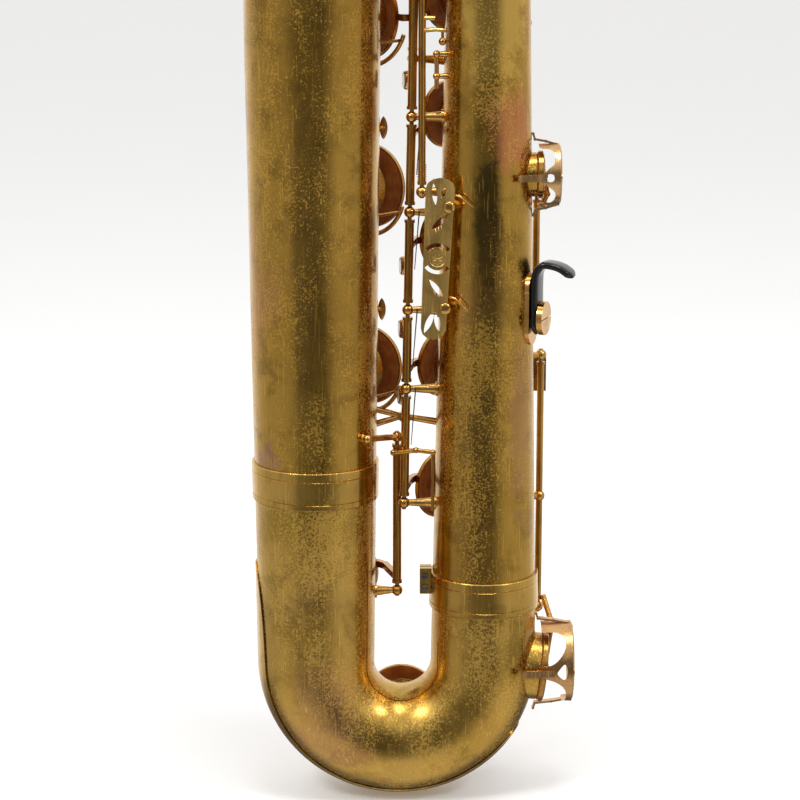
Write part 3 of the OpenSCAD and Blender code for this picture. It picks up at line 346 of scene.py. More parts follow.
def brass(name, gold, brown, rough, flaked, flake_low=0.55, blush=None, stains=()):
    """Old lacquered brass: broad tone changes, flaked lacquer that scatters, scratches and pits."""
    f = Finish(name)
    broad = f.noise(13, 3, 0.55)
    cloud = f.noise(46, 5, 0.62, warp=0.4)
    grain = f.noise(520, 4, 0.7)
    colour = f.mix(f.span(broad, 0.36, 0.64), gold, brown)
    colour = f.mix(f.span(cloud, 0.46, 0.66, 0, 0.6), colour, tuple(c * 0.56 for c in brown))
    if blush:
        rosy = f.span(f.noise(8.5, 2, 0.5, place=f.stretched(1, 1, 0.7)), 0.6, 0.74, 0, 0.65)
        colour = f.mix(rosy, colour, blush)
    for centre, size, tone, share in stains:
        colour = f.mix(f.math("MULTIPLY", f.near(centre, size, 0.3), share), colour, tone)
    speck = f.math("ADD", f.math("MULTIPLY", f.noise(620, 5, 0.74), 0.62),
                   f.math("MULTIPLY", f.noise(26, 3, 0.6, place=f.stretched(1, 1, 0.4)), 0.38))
    flake = f.span(speck, flake_low, flake_low + 0.035, 0, flaked)
    colour = f.mix(f.math("MULTIPLY", flake, 0.7), colour, tuple(min(1, c * 1.42) for c in gold))
    streak = f.noise(1, 3, 0.6, place=f.stretched(420, 420, 16, 0.03))
    scratch = f.span(f.noise(1, 2, 0.5, place=f.stretched(900, 900, 34, 0.9)), 0.64, 0.67)
    nick = f.span(f.noise(1, 2, 0.5, place=f.stretched(800, 800, 26, -0.5)), 0.67, 0.7)
    pits = f.span(f.noise(170, 4, 0.7), 0.7, 0.76)
    colour = f.mix(f.math("MULTIPLY", pits, 0.55), colour, (0.09, 0.05, 0.02))
    colour = f.mix(f.math("MULTIPLY", f.math("MAXIMUM", scratch, nick), 0.6), colour,
                   tuple(min(1, c * 1.5) for c in gold))
    dull = f.span(f.noise(19, 4, 0.6, place=f.stretched(1, 1, 0.35)), 0.42, 0.6, 0, 0.07)
    r = f.span(streak, 0.4, 0.75, rough, rough + 0.09)
    for rougher in (f.math("MULTIPLY", flake, 0.27), dull, f.math("MULTIPLY", pits, 0.25)):
        r = f.math("ADD", r, rougher)
    normal = f.bump(f.noise(34, 2, 0.5), 0.0011, 0.22)
    relief = f.math("SUBTRACT", flake, f.math("MULTIPLY", scratch, 0.8))
    normal = f.bump(relief, 0.00006, 0.5, normal)
    normal = f.bump(grain, 0.00008, 0.4, normal)
    f.set(Base_Color=colour, Metallic=1.0, Roughness=r, Normal=normal,
          Coat_Weight=0.18, Coat_Roughness=0.12, Coat_IOR=1.45)
    return f.material


def leather(name):
    f = Finish(name)
    tone = f.noise(90, 4, 0.6)
    colour = f.mix(f.span(tone, 0.35, 0.7), (0.34, 0.085, 0.012), (0.48, 0.16, 0.03))
    creases = f.span(f.cells(900), 0.0, 0.12)
    # Painted shade: the crease lines between the leather's cells are darkened towards dark brown,
    # where shade would fall in them.
    painted_crease_shade = f.math("MULTIPLY", f.math("SUBTRACT", 1.0, creases), 0.25)
    colour = f.mix(painted_crease_shade, colour, (0.1, 0.03, 0.015))
    normal = f.bump(f.noise(140, 3, 0.5), 0.0004, 0.5)
    normal = f.bump(creases, 0.00012, 0.55, normal)
    f.set(Base_Color=colour, Roughness=f.span(tone, 0.3, 0.7, 0.36, 0.55), Normal=normal,
          Sheen_Weight=0.05, Specular_IOR_Level=0.3)
    return f.material


def resin(name, tone, rough):
    f = Finish(name)
    smear = f.noise(70, 4, 0.6)
    scuff = f.span(f.noise(1, 3, 0.6, place=f.stretched(700, 700, 60, 0.6)), 0.6, 0.68)
    colour = f.mix(f.math("MULTIPLY", scuff, 0.3), tone, tuple(c + 0.05 for c in tone))
    r = f.span(smear, 0.35, 0.7, rough, rough + 0.12)
    r = f.math("ADD", r, f.math("MULTIPLY", scuff, 0.15))
    f.set(Base_Color=colour, Roughness=r, Normal=f.bump(smear, 0.0002, 0.2),
          Specular_IOR_Level=0.35, Coat_Weight=0.15, Coat_Roughness=0.06)
    return f.material


def turned_steel(name, pale, dark, rough):
    f = Finish(name)
    ring = f.noise(1, 3, 0.6, place=f.stretched(260, 260, 2600))
    tone = f.noise(120, 4, 0.6)
    f.set(Base_Color=f.mix(f.span(tone, 0.35, 0.7), pale, dark), Metallic=1.0,
          Roughness=f.span(ring, 0.3, 0.7, rough, rough + 0.14), Normal=f.bump(ring, 0.00004, 0.4))
    return f.material


def cork(name):
    f = Finish(name)
    grain = f.noise(420, 5, 0.7)
    holes = f.span(f.noise(260, 4, 0.7), 0.62, 0.7)
    colour = f.mix(f.span(grain, 0.3, 0.7), (0.42, 0.25, 0.12), (0.62, 0.42, 0.24))
    colour = f.mix(f.math("MULTIPLY", holes, 0.7), colour, (0.12, 0.06, 0.03))
    normal = f.bump(f.math("SUBTRACT", grain, holes), 0.0002, 0.6)
    f.set(Base_Color=colour, Roughness=0.85, Normal=normal)
    return f.material


def cane(name):
    f = Finish(name)
    fibre = f.noise(1, 4, 0.7, place=f.stretched(60, 2400, 2400))
    f.set(Base_Color=f.mix(f.span(fibre, 0.35, 0.7), (0.62, 0.45, 0.2), (0.8, 0.66, 0.38)),
          Roughness=0.55, Normal=f.bump(fibre, 0.00006, 0.5))
    return f.material


def nacre(name):
    f = Finish(name)
    wave = f.noise(160, 4, 0.6, warp=1.6)
    colour = f.mix(f.span(wave, 0.3, 0.7), (0.78, 0.74, 0.68), (0.62, 0.7, 0.72))
    f.set(Base_Color=colour, Roughness=0.16, Coat_Weight=0.6, Coat_Roughness=0.05,
          Normal=f.bump(wave, 0.00008, 0.3), Sheen_Weight=0.1)
    return f.material


def felt(name, tone):
    f = Finish(name)
    fuzz = f.noise(1500, 4, 0.7)
    f.set(Base_Color=f.mix(fuzz, tone, tuple(c * 0.55 for c in tone)), Roughness=0.95,
          Sheen_Weight=0.5, Normal=f.bump(fuzz, 0.0003, 0.7))
    return f.material


# Stains of the lacquer: (centre, half sizes, colour, strength), in the tubes' millimetres
STAINS = (
    ((81, -28, 511), (21, 26, 38), (0.74, 0.27, 0.115), 0.8),
    ((64, -34, 448), (11, 16, 62), (0.1, 0.07, 0.02), 0.8),
    ((68, -32, 596), (34, 30, 66), (0.92, 0.6, 0.14), 0.7),
    ((-97, -26, 262), (13, 24, 26), (0.46, 0.24, 0.16), 0.6),
    ((88, -24, 300), (11, 22, 80), (0.6, 0.3, 0.15), 0.45),
    ((52, -36, 268), (17, 18, 120), (0.24, 0.14, 0.035), 0.62),
    ((67, -37, 400), (12, 16, 60), (0.25, 0.14, 0.035), 0.5),
    ((-68, -45, 420), (12, 18, 130), (0.3, 0.17, 0.045), 0.4),
)
BOW_STAINS = (
    ((-64, -30, 218), (64, 44, 19), (0.44, 0.27, 0.04), 0.75),
    ((86, -30, 124), (9, 20, 32), (0.3, 0.19, 0.03), 0.6),
    ((-36, -30, 40), (26, 30, 12), (0.4, 0.18, 0.08), 0.5),
)

# Metals by slot: gold and brown of the lacquer, roughness, and how strong the flakes are
# and where they start
METALS = {
    "aged_lacquer": dict(gold=(0.6, 0.35, 0.062), brown=(0.49, 0.275, 0.046), rough=0.14,
                         flaked=0.95, flake_low=0.532, blush=(0.58, 0.27, 0.12), stains=STAINS),
    "key_brass": dict(gold=(0.68, 0.37, 0.085), brown=(0.52, 0.26, 0.055), rough=0.17,
                      flaked=0.5, flake_low=0.6),
    "polished_brass": dict(gold=(0.8, 0.46, 0.13), brown=(0.66, 0.35, 0.09), rough=0.13,
                           flaked=0.35, flake_low=0.62),
    "guard_brass": dict(gold=(0.78, 0.48, 0.22), brown=(0.64, 0.36, 0.14), rough=0.26,
                        flaked=0.5, flake_low=0.58),
}
finishes = {slot: brass(slot, **look) for slot, look in METALS.items()}
finishes.update({
    "rod_steel": turned_steel("rod_steel", (0.4, 0.36, 0.31), (0.24, 0.2, 0.16), 0.2),
    "blued_steel": turned_steel("blued_steel", (0.14, 0.16, 0.2), (0.08, 0.08, 0.1), 0.25),
    "pad_leather": leather("pad_leather"),
    "cork": cork("cork"),
    "ebonite": resin("ebonite", (0.012, 0.012, 0.013), 0.16),
    "black_resin": resin("black_resin", (0.006, 0.006, 0.007), 0.08),
    "cane": cane("cane"),
})
bow_finish = brass("bow_lacquer", (0.68, 0.42, 0.095), (0.56, 0.33, 0.06), 0.18, 0.85, 0.518,
                   blush=(0.56, 0.28, 0.13), stains=BOW_STAINS)
ferrule_finish = brass("ferrule_lacquer", (0.7, 0.43, 0.1), (0.58, 0.34, 0.07), 0.13, 0.5, 0.58)
# Painted light: the clothes guard plate and its rosette get a paler, brighter lacquer colour than
# the tubes, standing in for the brighter light the flat plate catches.
plate_painted_light_finish = brass("plate_lacquer_painted_light", (0.72, 0.48, 0.16), (0.6, 0.38, 0.11), 0.4, 0.4, 0.56)
seam_finish = brass("seam", (0.22, 0.12, 0.05), (0.14, 0.07, 0.03), 0.35, 0.3)
pearl = nacre("pearl")
dark_felt = felt("dark_felt", (0.05, 0.02, 0.018))


def clad(node, finish):
    """Gives a CAD node one material."""
    node.data.materials.clear()
    node.data.materials.append(finish)


for sub in frame["record"]["subparts"]:
    clad(NODES[sub["node"]], finishes[sub["material_slot"]])
for name in ("bell_ferrule", "body_ferrule", "loop_ferrules"):
    clad(NODES[name], ferrule_finish)


# ---- the bow: a tapering bend with three tone holes ----

def bow_radius(share):
    """Radius round the bend: share is 0 on the bell's side and 1 on the body's."""
    start, middle, end = BOW_R
    return lerp(start, middle, share * 2) if share < 0.5 else lerp(middle, end, share * 2 - 1)


def bow_stations(past=0.0):
    """(centre, outward direction, radius) down the bell leg, round the bend and up the body leg."""
    stations = []
    top = BELL_JOINT_Z - 0.05 + past
    for k in range(13):
        z = lerp(top, BEND_Z, k / 13)
        r = lerp(BOW_R[0], bell_r(BELL_JOINT_Z), (z - BEND_Z) / (BELL_JOINT_Z - BEND_Z))
        stations.append((Vector((BELL_X, 0, z)), Vector((-1, 0, 0)), r))
    for k in range(61):
        a = math.pi * k / 60
        out = Vector((-math.cos(a), 0, -math.sin(a)))
        stations.append((Vector((0, 0, BEND_Z)) + out * BEND_R, out, bow_radius(k / 60)))
    top = BODY_JOINT_Z - 0.05 + past
    for k in range(1, 7):
        z = lerp(BEND_Z, top, k / 6)
        r = lerp(BOW_R[2], body_r(BODY_JOINT_Z), (z - BEND_Z) / (BODY_JOINT_Z - BEND_Z))
        stations.append((Vector((BODY_X, 0, z)), Vector((1, 0, 0)), r))
    return stations


def bow_solid(inset, past, sides=96):
    rings = []
    for centre, out, r in bow_stations(past):
        rings.append([centre + (out * math.cos(a) + Vector((0, 1, 0)) * math.sin(a)) * (r - inset)
                      for a in (2 * math.pi * i / sides for i in range(sides))])
    return loft(rings)


def tone_hole_cylinder(matrix, radius, low, high):
    return moved(lathe([(0, low), (radius, low), (radius, high), (0, high)], 72), matrix @ OUTWARD)


def cut(base, steps):
    """The base solid after unions and differences with other solids, as a mesh in the row frame."""
    made = []
    for k, (verts, faces) in enumerate([base] + [shape for _, shape in steps]):
        mesh = bpy.data.meshes.new(f"cut_{k}")
        mesh.from_pydata([TO_ROW @ Vector(v) for v in verts], [], faces)
        bm = bmesh.new()
        bm.from_mesh(mesh)
        bmesh.ops.remove_doubles(bm, verts=bm.verts, dist=1e-7)
        bmesh.ops.recalc_face_normals(bm, faces=bm.faces)
        bm.to_mesh(mesh)
        bm.free()
        made.append(bpy.data.objects.new(f"cut_{k}", mesh))
        bpy.context.scene.collection.objects.link(made[-1])
    for (operation, _), tool in zip(steps, made[1:]):
        boolean = made[0].modifiers.new("cut", "BOOLEAN")
        boolean.operation = operation
        boolean.object = tool
        boolean.solver = "EXACT"
    result = bpy.data.meshes.new_from_object(
        made[0].evaluated_get(bpy.context.evaluated_depsgraph_get()))
    for o in made:
        bpy.data.objects.remove(o)
    return result


LOW_C_H = body_r(BEND_Z) + 1 + CHIMNEY + 1
E_FLAT_H = body_r(BEND_Z) + 1 + 1.2
C_SHARP_H = bell_r(C_SHARP_Z) + CHIMNEY
bow_holes = [
    (shift(LOW_C_X, 0, LOW_C_Z), rim_of(LOW_C_R), LOW_C_H),
    (on_tube(BODY_X, -90, E_FLAT_Z, E_FLAT_TILT), E_FLAT_R - RIM_IN, E_FLAT_H),
    (on_tube(BELL_X, C_SHARP_AZ, C_SHARP_Z), rim_of(C_SHARP_R), C_SHARP_H),
]
steps = [("UNION", tone_hole_cylinder(m, r, 25, h)) for m, r, h in bow_holes]
steps += [("DIFFERENCE", bow_solid(WALL, 2))]
steps += [("DIFFERENCE", tone_hole_cylinder(m, r - RIM_IN, 20, h + 9)) for m, r, h in bow_holes]
bow = finished("bow_shell", cut(bow_solid(0, 0), steps), bow_finish, "horn", 30)
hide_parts("bow")


def round_bow(share_from, share_to, half_width, proud, thick, count=70):
    """A thin plate over the outer side of the bow, with rounded ends."""
    stations = bow_stations()
    first, last = share_from * (len(stations) - 1), share_to * (len(stations) - 1)
    rings = []
    for k in range(count + 1):
        t = k / count
        at = lerp(first, last, t)
        low = min(int(at), len(stations) - 2)
        centre = stations[low][0].lerp(stations[low + 1][0], at - low)
        out = stations[low][1].lerp(stations[low + 1][1], at - low).normalized()
        r = lerp(stations[low][2], stations[low + 1][2], at - low)
        spread = half_width * max(0.03, 1 - abs(2 * t - 1) ** 9) ** 0.5
        section = []
        for offset, side in ((proud, 1), (proud + thick, -1)):
            for i in range(15):
                a = math.radians(spread * side * (1 - i / 7))
                section.append(centre + (out * math.cos(a) + Vector((0, 1, 0)) * math.sin(a))
                               * (r + offset))
        rings.append(section)
    return loft(rings)


piece("bow_guard", *round_bow(0.075, 0.8, 33, 0.35, 0.9), ferrule_finish, "horn", "aged_lacquer")


def bow_line(angle, share_from, share_to, radius):
    """A fine bar along the bow's surface at an angle from its outer side."""
    stations = bow_stations()
    path = []
    for k in range(int(share_from * (len(stations) - 1)), int(share_to * (len(stations) - 1)) + 1):
        centre, out, r = stations[k]
        a = math.radians(angle)
        path.append(centre + (out * math.cos(a) + Vector((0, 1, 0)) * math.sin(a)) * r)
    return bar(path, radius, 8)


for side, name in ((-151, "near"), (151, "far")):
    piece(f"bow_seam_{name}", *bow_line(side, 0.08, 0.95, 0.32), seam_finish,
          "horn", "aged_lacquer")


# ---- pads, with their resonators ----

STACK_AZ, BELL_AZ = 34, -39
STACK_ROWS = {
    "d": (232, 26.5), "e": (328, 26), "f": (425, 25.5), "f_sharp": (518, 25),
    "g": (605, 25), "a": (668, 18), "b": (707, 16), "c": (741, 13),
}


def rod_at(z):
    return Vector((3 + BODY_SLOPE * (z - 226), -3, z))


def local(p, x, azimuth):
    a = math.radians(azimuth)
    return ((p[0] - x) * math.cos(a) + p[1] * math.sin(a),
            -(p[0] - x) * math.sin(a) + p[1] * math.cos(a))


def stack_swing(z):
    """The lean-axis turn that opens a stack key by 7 mm at its cup's middle."""
    q = local(rod_at(z), BODY_X, STACK_AZ)
    angle = math.asin(7 / math.hypot(q[0], q[1] - body_r(z) - CHIMNEY))
    start = rod_at(226)
    return (Matrix.Translation(start) @ Matrix.Rotation(angle, 4, Vector((BODY_SLOPE, 0, 1)))
            @ Matrix.Translation(-start))


def standing(x, azimuth, z, rod, angle, tilt=0):
    q = local(rod, x, azimuth)
    side = -1 if q[0] < 0 else 1
    return swing(rod, -side * angle) @ on_tube(x, azimuth, z, tilt)


A_ROD, B_ROD, C_ROD, C_SHARP_ROD = (9.5, 27), (-70, 77), (73, 56), (-2.2, 6)
E_FLAT_ROD, TRILL_ROD, G_SHARP_ROD = (107, 30), (102, 22), (93, 30)
PALM_ROD, OCTAVE_ROD, LEVER_ROD = (94, -22), (97.6, 8.2), (16, -11)


def open_on_bell(z, r, rod, node):
    """A big cup that stands open over the bell."""
    return standing(BELL_X, BELL_AZ, z, rod, 7), r, bell_r(z) + CHIMNEY + 1, node


def shut_on_body(azimuth, z, r, rod):
    """A cup that rests on its tone hole in the body tube."""
    return standing(BODY_X, azimuth, z, rod, 0), r, body_r(z) + CHIMNEY, None


# name: (frame of the tone hole, cup radius, height of its rim, CAD pad node or None)
pads = {
    "low_a": open_on_bell(590, 32, A_ROD, "low_a_pad"),
    "low_b_flat": open_on_bell(463, 32, B_ROD, "low_b_flat_pad"),
    "low_b": open_on_bell(325, 30.4, B_ROD, "low_b_pad"),
    "low_c_sharp": (standing(BELL_X, C_SHARP_AZ, C_SHARP_Z, C_SHARP_ROD, 0), C_SHARP_R, C_SHARP_H,
                    "low_c_sharp_pad"),
    "low_c": (standing(LOW_C_X, 0, LOW_C_Z, C_ROD, 5.6), LOW_C_R, LOW_C_H, None),
    "e_flat": (standing(BODY_X, -90, E_FLAT_Z, E_FLAT_ROD, 0, E_FLAT_TILT), E_FLAT_R, E_FLAT_H,
               "e_flat_pad"),
    "side_trill": (standing(BODY_X, -90, TRILL_Z, TRILL_ROD, 0), TRILL_R, body_r(TRILL_Z) + 3,
                   "side_trill_pad"),
    "g_sharp": shut_on_body(-14, 561, 15, G_SHARP_ROD),
    "palm": shut_on_body(200, 838, 11, PALM_ROD),
    "octave": shut_on_body(-58, 872, 5.5, OCTAVE_ROD),
}
for key, (z, r) in STACK_ROWS.items():
    node = f"{key}_pad" if f"{key}_pad" in NODES else None
    pads[key] = (stack_swing(z) @ on_tube(BODY_X, STACK_AZ, z), r, body_r(z) + CHIMNEY, node)


def pad_shape(r, seat):
    """A crowned leather pad: soft rolled edge, seat mark, slight swell, its back in the cup."""
    edge = r - 1.12
    return lathe([
        (0, 0.14), (seat * 0.35, 0.16), (seat * 0.7, 0.2), (seat - 1.6, 0.3), (seat - 0.9, 0.42),
        (seat - 0.35, 0.5), (seat + 0.1, 0.46), (edge - 0.7, 0.62), (edge - 0.3, 0.86),
        (edge - 0.06, 1.3), (edge, 1.9), (edge, PAD_T - 0.1), (0, PAD_T - 0.1)], 96)


def resonator_shape(r):
    """A pressed metal dome with a rolled rim and a rivet, on the pad's face."""
    big = r * 0.42
    return lathe([
        (0, -1.5), (0.8, -1.42), (1.5, -1.1), (1.7, -0.95), (big * 0.45, -0.8), (big * 0.72, -0.62),
        (big * 0.86, -0.34), (big * 0.9, -0.3), (big * 0.95, -0.42), (big, -0.2), (big, 0.25),
        (0, 0.25)], 72)


# ---- small pieces on the keys ----

bodies = frame["record"]["behaviour"]["bodies"]
body_name = {node: body for body, nodes in bodies.items() for node in nodes}

for key, (matrix, r, h, node) in pads.items():
    on_pad = matrix @ OUTWARD @ shift(0, 0, h + 0.1)
    body = body_name[f"{key}_key"]
    seat = r - 2 if key in ("e_flat", "side_trill") else rim_of(r) - 0.6
    made = piece(f"{key}_pad_leather", *moved(pad_shape(r, seat), on_pad), finishes["pad_leather"],
                 body, "pad_leather", 60)
    if node:
        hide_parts(node)
    if r > 12:
        piece(f"{key}_resonator", *moved(resonator_shape(r), on_pad), finishes["polished_brass"],
              body, "polished_brass")
    back = PAD_T + 0.4
    bead = [(r - 0.5, back - 0.1), (r + 0.1, back - 0.5),
            (r + 0.1, back + 0.1), (r - 0.3, back + 0.5)]
    crown = PAD_T + 2.0
    rings = [
        lathe(bead, 96, closed=True),
        lathe([(r * 0.72, crown - 0.1), (r * 0.74, crown - 0.5), (r * 0.68, crown - 0.4),
               (r * 0.69, crown + 0.15)], 72, closed=True),
    ]
    piece(f"{key}_cup_rings", *moved(joined(*rings), on_pad @ shift(0, 0, -0.1)),
          finishes["key_brass"], body, "key_brass")


def pearl_shape(r):
    return lathe([(0, 1.5), (r * 0.5, 1.42), (r * 0.8, 1.3), (r * 0.95, 1.05),
                  (r, 0.6), (r, 0), (0, 0)], 48)


def rim_shape(r):
    return lathe([(r, 0), (r + 1, 0), (r + 1.1, 0.7), (r + 0.7, 1.2), (r, 0.8)], 48, closed=True)


PEARL_R = 5.6
for key, z in {"d": 305, "e": 356, "f": 404, "g": 542}.items():
    face = (stack_swing(STACK_ROWS[key][0]) @ Matrix.Translation(rod_at(z))
            @ shift(-1.2, 19, 3) @ turn(-90, "Y") @ shift(0, 0, 1.2))
    body = body_name[f"{key}_key"]
    piece(f"{key}_pearl", *moved(pearl_shape(PEARL_R), face), pearl, body, "key_brass")
    piece(f"{key}_pearl_rim", *moved(rim_shape(PEARL_R), face), finishes["key_brass"], body,
          "key_brass")


# ---- the thumb hook: a curled black tongue with rounded edges ----

HOOK_AZ, HOOK_Z0, HOOK_Z1, HOOK_BASE = -110, 360, 408, 2.0
hook_frame = on_tube(BODY_X, HOOK_AZ, 0) @ shift(0, body_r(384) - 0.2 + HOOK_BASE + 0.05, 0)


def hook_shape():
    path = smooth_path([
        (0, 3, HOOK_Z0 + 1), (0, 2.9, HOOK_Z0 + 18), (0, 2.8, HOOK_Z1 - 10), (0, 3.6, HOOK_Z1 - 1),
        (0, 7.5, HOOK_Z1 + 4.4), (0, 13, HOOK_Z1 + 5.2), (0, 22, HOOK_Z1 + 3),
        (0, 30.8, HOOK_Z1 - 3)], 9)
    rings = []
    for k, p in enumerate(path):
        t = k / (len(path) - 1)
        ahead = (path[min(k + 1, len(path) - 1)] - path[max(k - 1, 0)]).normalized()
        normal = Vector((1, 0, 0)).cross(ahead)
        ends = min(1, (min(t, 1 - t) * 16 + 0.1)) ** 0.5
        wide = lerp(10.5, 8.8, t) * ends
        thick = 2.75 * min(1, ends + 0.05)
        ring = []
        for i in range(28):
            a = 2 * math.pi * i / 28
            c, s = math.cos(a), math.sin(a)
            ring.append(p + Vector((1, 0, 0)) * wide * math.copysign(abs(c) ** 0.45, c)
                        + normal * thick * math.copysign(abs(s) ** 0.7, s))
        rings.append(ring)
    return loft(rings)


hook = piece("thumb_hook_tongue", *moved(hook_shape(), hook_frame), finishes["black_resin"], "horn",
             "black_resin", 60)
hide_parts("thumb_hook")


# ---- the rosette on the clothes guard ----

def rosette_shape(radius=6.1, around=120, rings=12):
    verts, faces = [(0, 0, 0.9)], []
    for j in range(1, rings + 1):
        t = j / rings
        for i in range(around):
            a = 2 * math.pi * i / around
            petal = abs(math.cos(4 * a)) ** 0.7
            rim = 0.35 if t > 0.92 else 0
            z = 0.35 + 0.5 * petal * math.sin(math.pi * min(1, t * 1.15)) + rim
            verts.append((radius * t * math.cos(a), radius * t * math.sin(a), z))
    for i in range(around):
        faces.append([0, 1 + i, 1 + (i + 1) % around])
    for j in range(rings - 1):
        for i in range(around):
            a, b = 1 + j * around, 1 + (j + 1) * around
            faces.append([a + i, b + i, b + (i + 1) % around, a + (i + 1) % around])
    low = len(verts)
    verts += [(radius * math.cos(a), radius * math.sin(a), -0.1)
              for a in (2 * math.pi * i / around for i in range(around))]
    edge = 1 + (rings - 1) * around
    for i in range(around):
        faces.append([edge + i, low + i, low + (i + 1) % around, edge + (i + 1) % around])
    faces.append([low + i for i in reversed(range(around))])
    return verts, faces


GUARD_Y = -31


def bulge(x, z):
    """How far the clothes guard's plate swells towards the player's clothes, in mm."""
    middle = lerp(24.4, 29.2, (z - 360) / 119)
    return 1.5 * max(0, 1 - ((x - middle) / 10.6) ** 2)


def swelling_guard():
    """The pierced plate with a gentle swell, kept flat at its edges."""
    bm = bmesh.new()
    bm.from_mesh(NODES["clothes_guard"].data)
    back = TO_ROW.inverted()
    for k in range(26):
        at = TO_ROW @ Vector((14.6 + k, 0, 0))
        bmesh.ops.bisect_plane(bm, geom=bm.verts[:] + bm.edges[:] + bm.faces[:], plane_co=at,
                               plane_no=(1, 0, 0), dist=1e-7)
    for v in bm.verts:
        p = back @ v.co
        if p.y < GUARD_Y + 1.3:
            v.co = TO_ROW @ (p - Vector((0, bulge(p.x, p.z), 0)))
    mesh = bpy.data.meshes.new("clothes_guard_plate")
    bm.to_mesh(mesh)
    bm.free()
    return mesh


plate = finished("clothes_guard_plate", swelling_guard(), plate_painted_light_finish, "horn", 30)
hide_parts("clothes_guard")


def screw_head(r, rise, slot_turn):
    """A domed head with a slot, standing on a flat head of radius r."""
    quarter = [math.pi * k / 24 for k in range(13)]
    dome = lathe([(r * math.sin(a), rise * math.cos(a)) for a in quarter]
                 + [(r, -0.6), (0, -0.6)], 48)
    half, end = 0.5, r + 1
    outline = ((-half, -end), (half, -end), (half, end), (-half, end))
    groove = moved(loft([[Vector((x, y, z)) for x, y in outline] for z in (rise * 0.35, rise + 2)]),
                   turn(slot_turn, "Z"))
    return dome, groove


for k, (x, z) in enumerate(((35.6, 457.6), (33, 383.2))):
    head, groove = screw_head(4.25, 1.7, 40 + 70 * k)
    at = shift(x, GUARD_Y - 2.0, z) @ turn(90, "X")
    mesh = cut(moved(head, at), [("DIFFERENCE", moved(groove, at))])
    finished(f"guard_screw_head_{k}", mesh, finishes["polished_brass"], "horn")
piece("guard_rosette", *moved(rosette_shape(), shift(27.2, GUARD_Y - 1.4, 420) @ turn(90, "X")),
      plate_painted_light_finish, "horn", "guard_brass")


# ---- the side guards' pierced walls, round the cups of the E flat and the trill key ----

def closed_curve(points, per_span=6):
    """A smooth closed outline through the points."""
    n = len(points)
    outline = []
    for i in range(n):
        a, b, c, d = (Vector(points[(i + k - 1) % n]) for k in range(4))
        for k in range(per_span):
            t = k / per_span
            outline.append(0.5 * (2 * b + (c - a) * t + (2 * a - 5 * b + 4 * c - d) * t * t
                                  + (3 * b - a - 3 * c + d) * t ** 3))
    return outline


def pierced_wall(name, matrix, r, inner, outer, windows, far):
    """A ring wall round a cup from the near side to `far` past its axis, pierced by windows.

    Each window is an outline of (outward, height) points, seen from the near side.
    """
    wall = [(r - 0.9, inner), (r + 0.1, inner - 0.2), (r + 0.25, outer - 1.8), (r - 1.4, outer),
            (r - 3, outer - 0.3), (r - 1, outer - 2)]
    base = moved(lathe(wall, 120, closed=True), matrix @ OUTWARD)
    past = 9
    low, high, side = inner - past, outer + past, r + past
    cuts = [(closed_curve(window), (-6, r + 6)) for window in windows]
    cuts += [([(low, -side), (high, -side), (high, side), (low, side)], (-side, -far))]
    tools = [moved(loft([[Vector((x, y, z)) for y, z in outline] for x in span]), matrix)
             for outline, span in cuts]
    shell = cut(base, [("DIFFERENCE", tool) for tool in tools])
    return finished(name, shell, finishes["guard_brass"], "horn", 35)


E_FLAT_GUARD, E_FLAT_WALL_R = on_tube(BODY_X, -90, E_FLAT_Z), 30.6
TRILL_GUARD, TRILL_WALL_R = on_tube(BODY_X, -90, TRILL_Z), 22.6
TRILL_WINDOW = [
    (36, 4.5), (41, 3.6), (44.5, 6.6), (48.5, 10), (49.6, 14), (47, 19), (41, 20), (36, 19)]
pierced_wall("e_flat_guard_wall", E_FLAT_GUARD, E_FLAT_WALL_R, 44, 68, [
    [(42, 7), (49, 5), (55, 8), (60, 14), (62, 20), (59, 25.5), (50, 27), (42, 25)],
    [(42, -6), (49, -6), (56, -9), (61, -14), (62.5, -21), (61, -29), (52, -38), (40, -34)],
    [(56, 1), (61, 6.5), (63, 1), (61, -6), (56, -2)],
], 5)
pierced_wall("trill_guard_wall", TRILL_GUARD, TRILL_WALL_R, 38, 54, [
    TRILL_WINDOW,
    [(y, -z) for y, z in TRILL_WINDOW],
    [(42.6, 0), (43.4, 2.2), (45.6, 3), (47.8, 2.2),
     (48.6, 0), (47.8, -2.2), (45.6, -3), (43.4, -2.2)],
], 4)


def guard_frame(node, matrix, r, low, high):
    """The CAD guard without the part of its near leg that the pierced wall takes over."""
    back = TO_ROW.inverted()
    mesh = NODES[node].data
    shape = [back @ v.co for v in mesh.vertices], [list(f.vertices) for f in mesh.polygons]
    half = 5
    gap = [(low, -half), (high, -half), (high, half), (low, half)]
    box = moved(loft([[Vector((x, y, z)) for y, z in gap] for x in (r - 4, r + 6)]), matrix)
    made = finished(f"{node}_frame", cut(shape, [("DIFFERENCE", box)]), finishes["guard_brass"],
                    "horn", 35)
    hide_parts(node)


def bumper(name, matrix, y, face, side):
    """A felt disc under a guard's rim, its back at y from the tube's axis.

    The bevel round its face runs from `face` to `side`, both (radius, height).
    """
    disc = lathe([(0, face[1]), face, side, (side[0], 0), (0, 0)], 40)
    piece(name, *moved(disc, matrix @ shift(0, y, 0) @ OUTWARD), dark_felt, "horn", "guard_brass")


guard_frame("e_flat_guard", E_FLAT_GUARD, E_FLAT_WALL_R, 53, 65.4)
guard_frame("trill_guard", TRILL_GUARD, TRILL_WALL_R, 41.4, 51.4)
bumper("e_flat_guard_felt", E_FLAT_GUARD, 66.2, (3, -3.4), (3.6, -2.8))
bumper("trill_guard_felt", TRILL_GUARD, 51.4, (2.8, -1.6), (3.3, -1.2))


# ---- small fittings between the tubes ----

def ball(p, r):
    half_circle = [math.pi * k / 14 for k in range(15)]
    return moved(lathe([(r * math.sin(a), -r * math.cos(a)) for a in half_circle], 24), shift(*p))


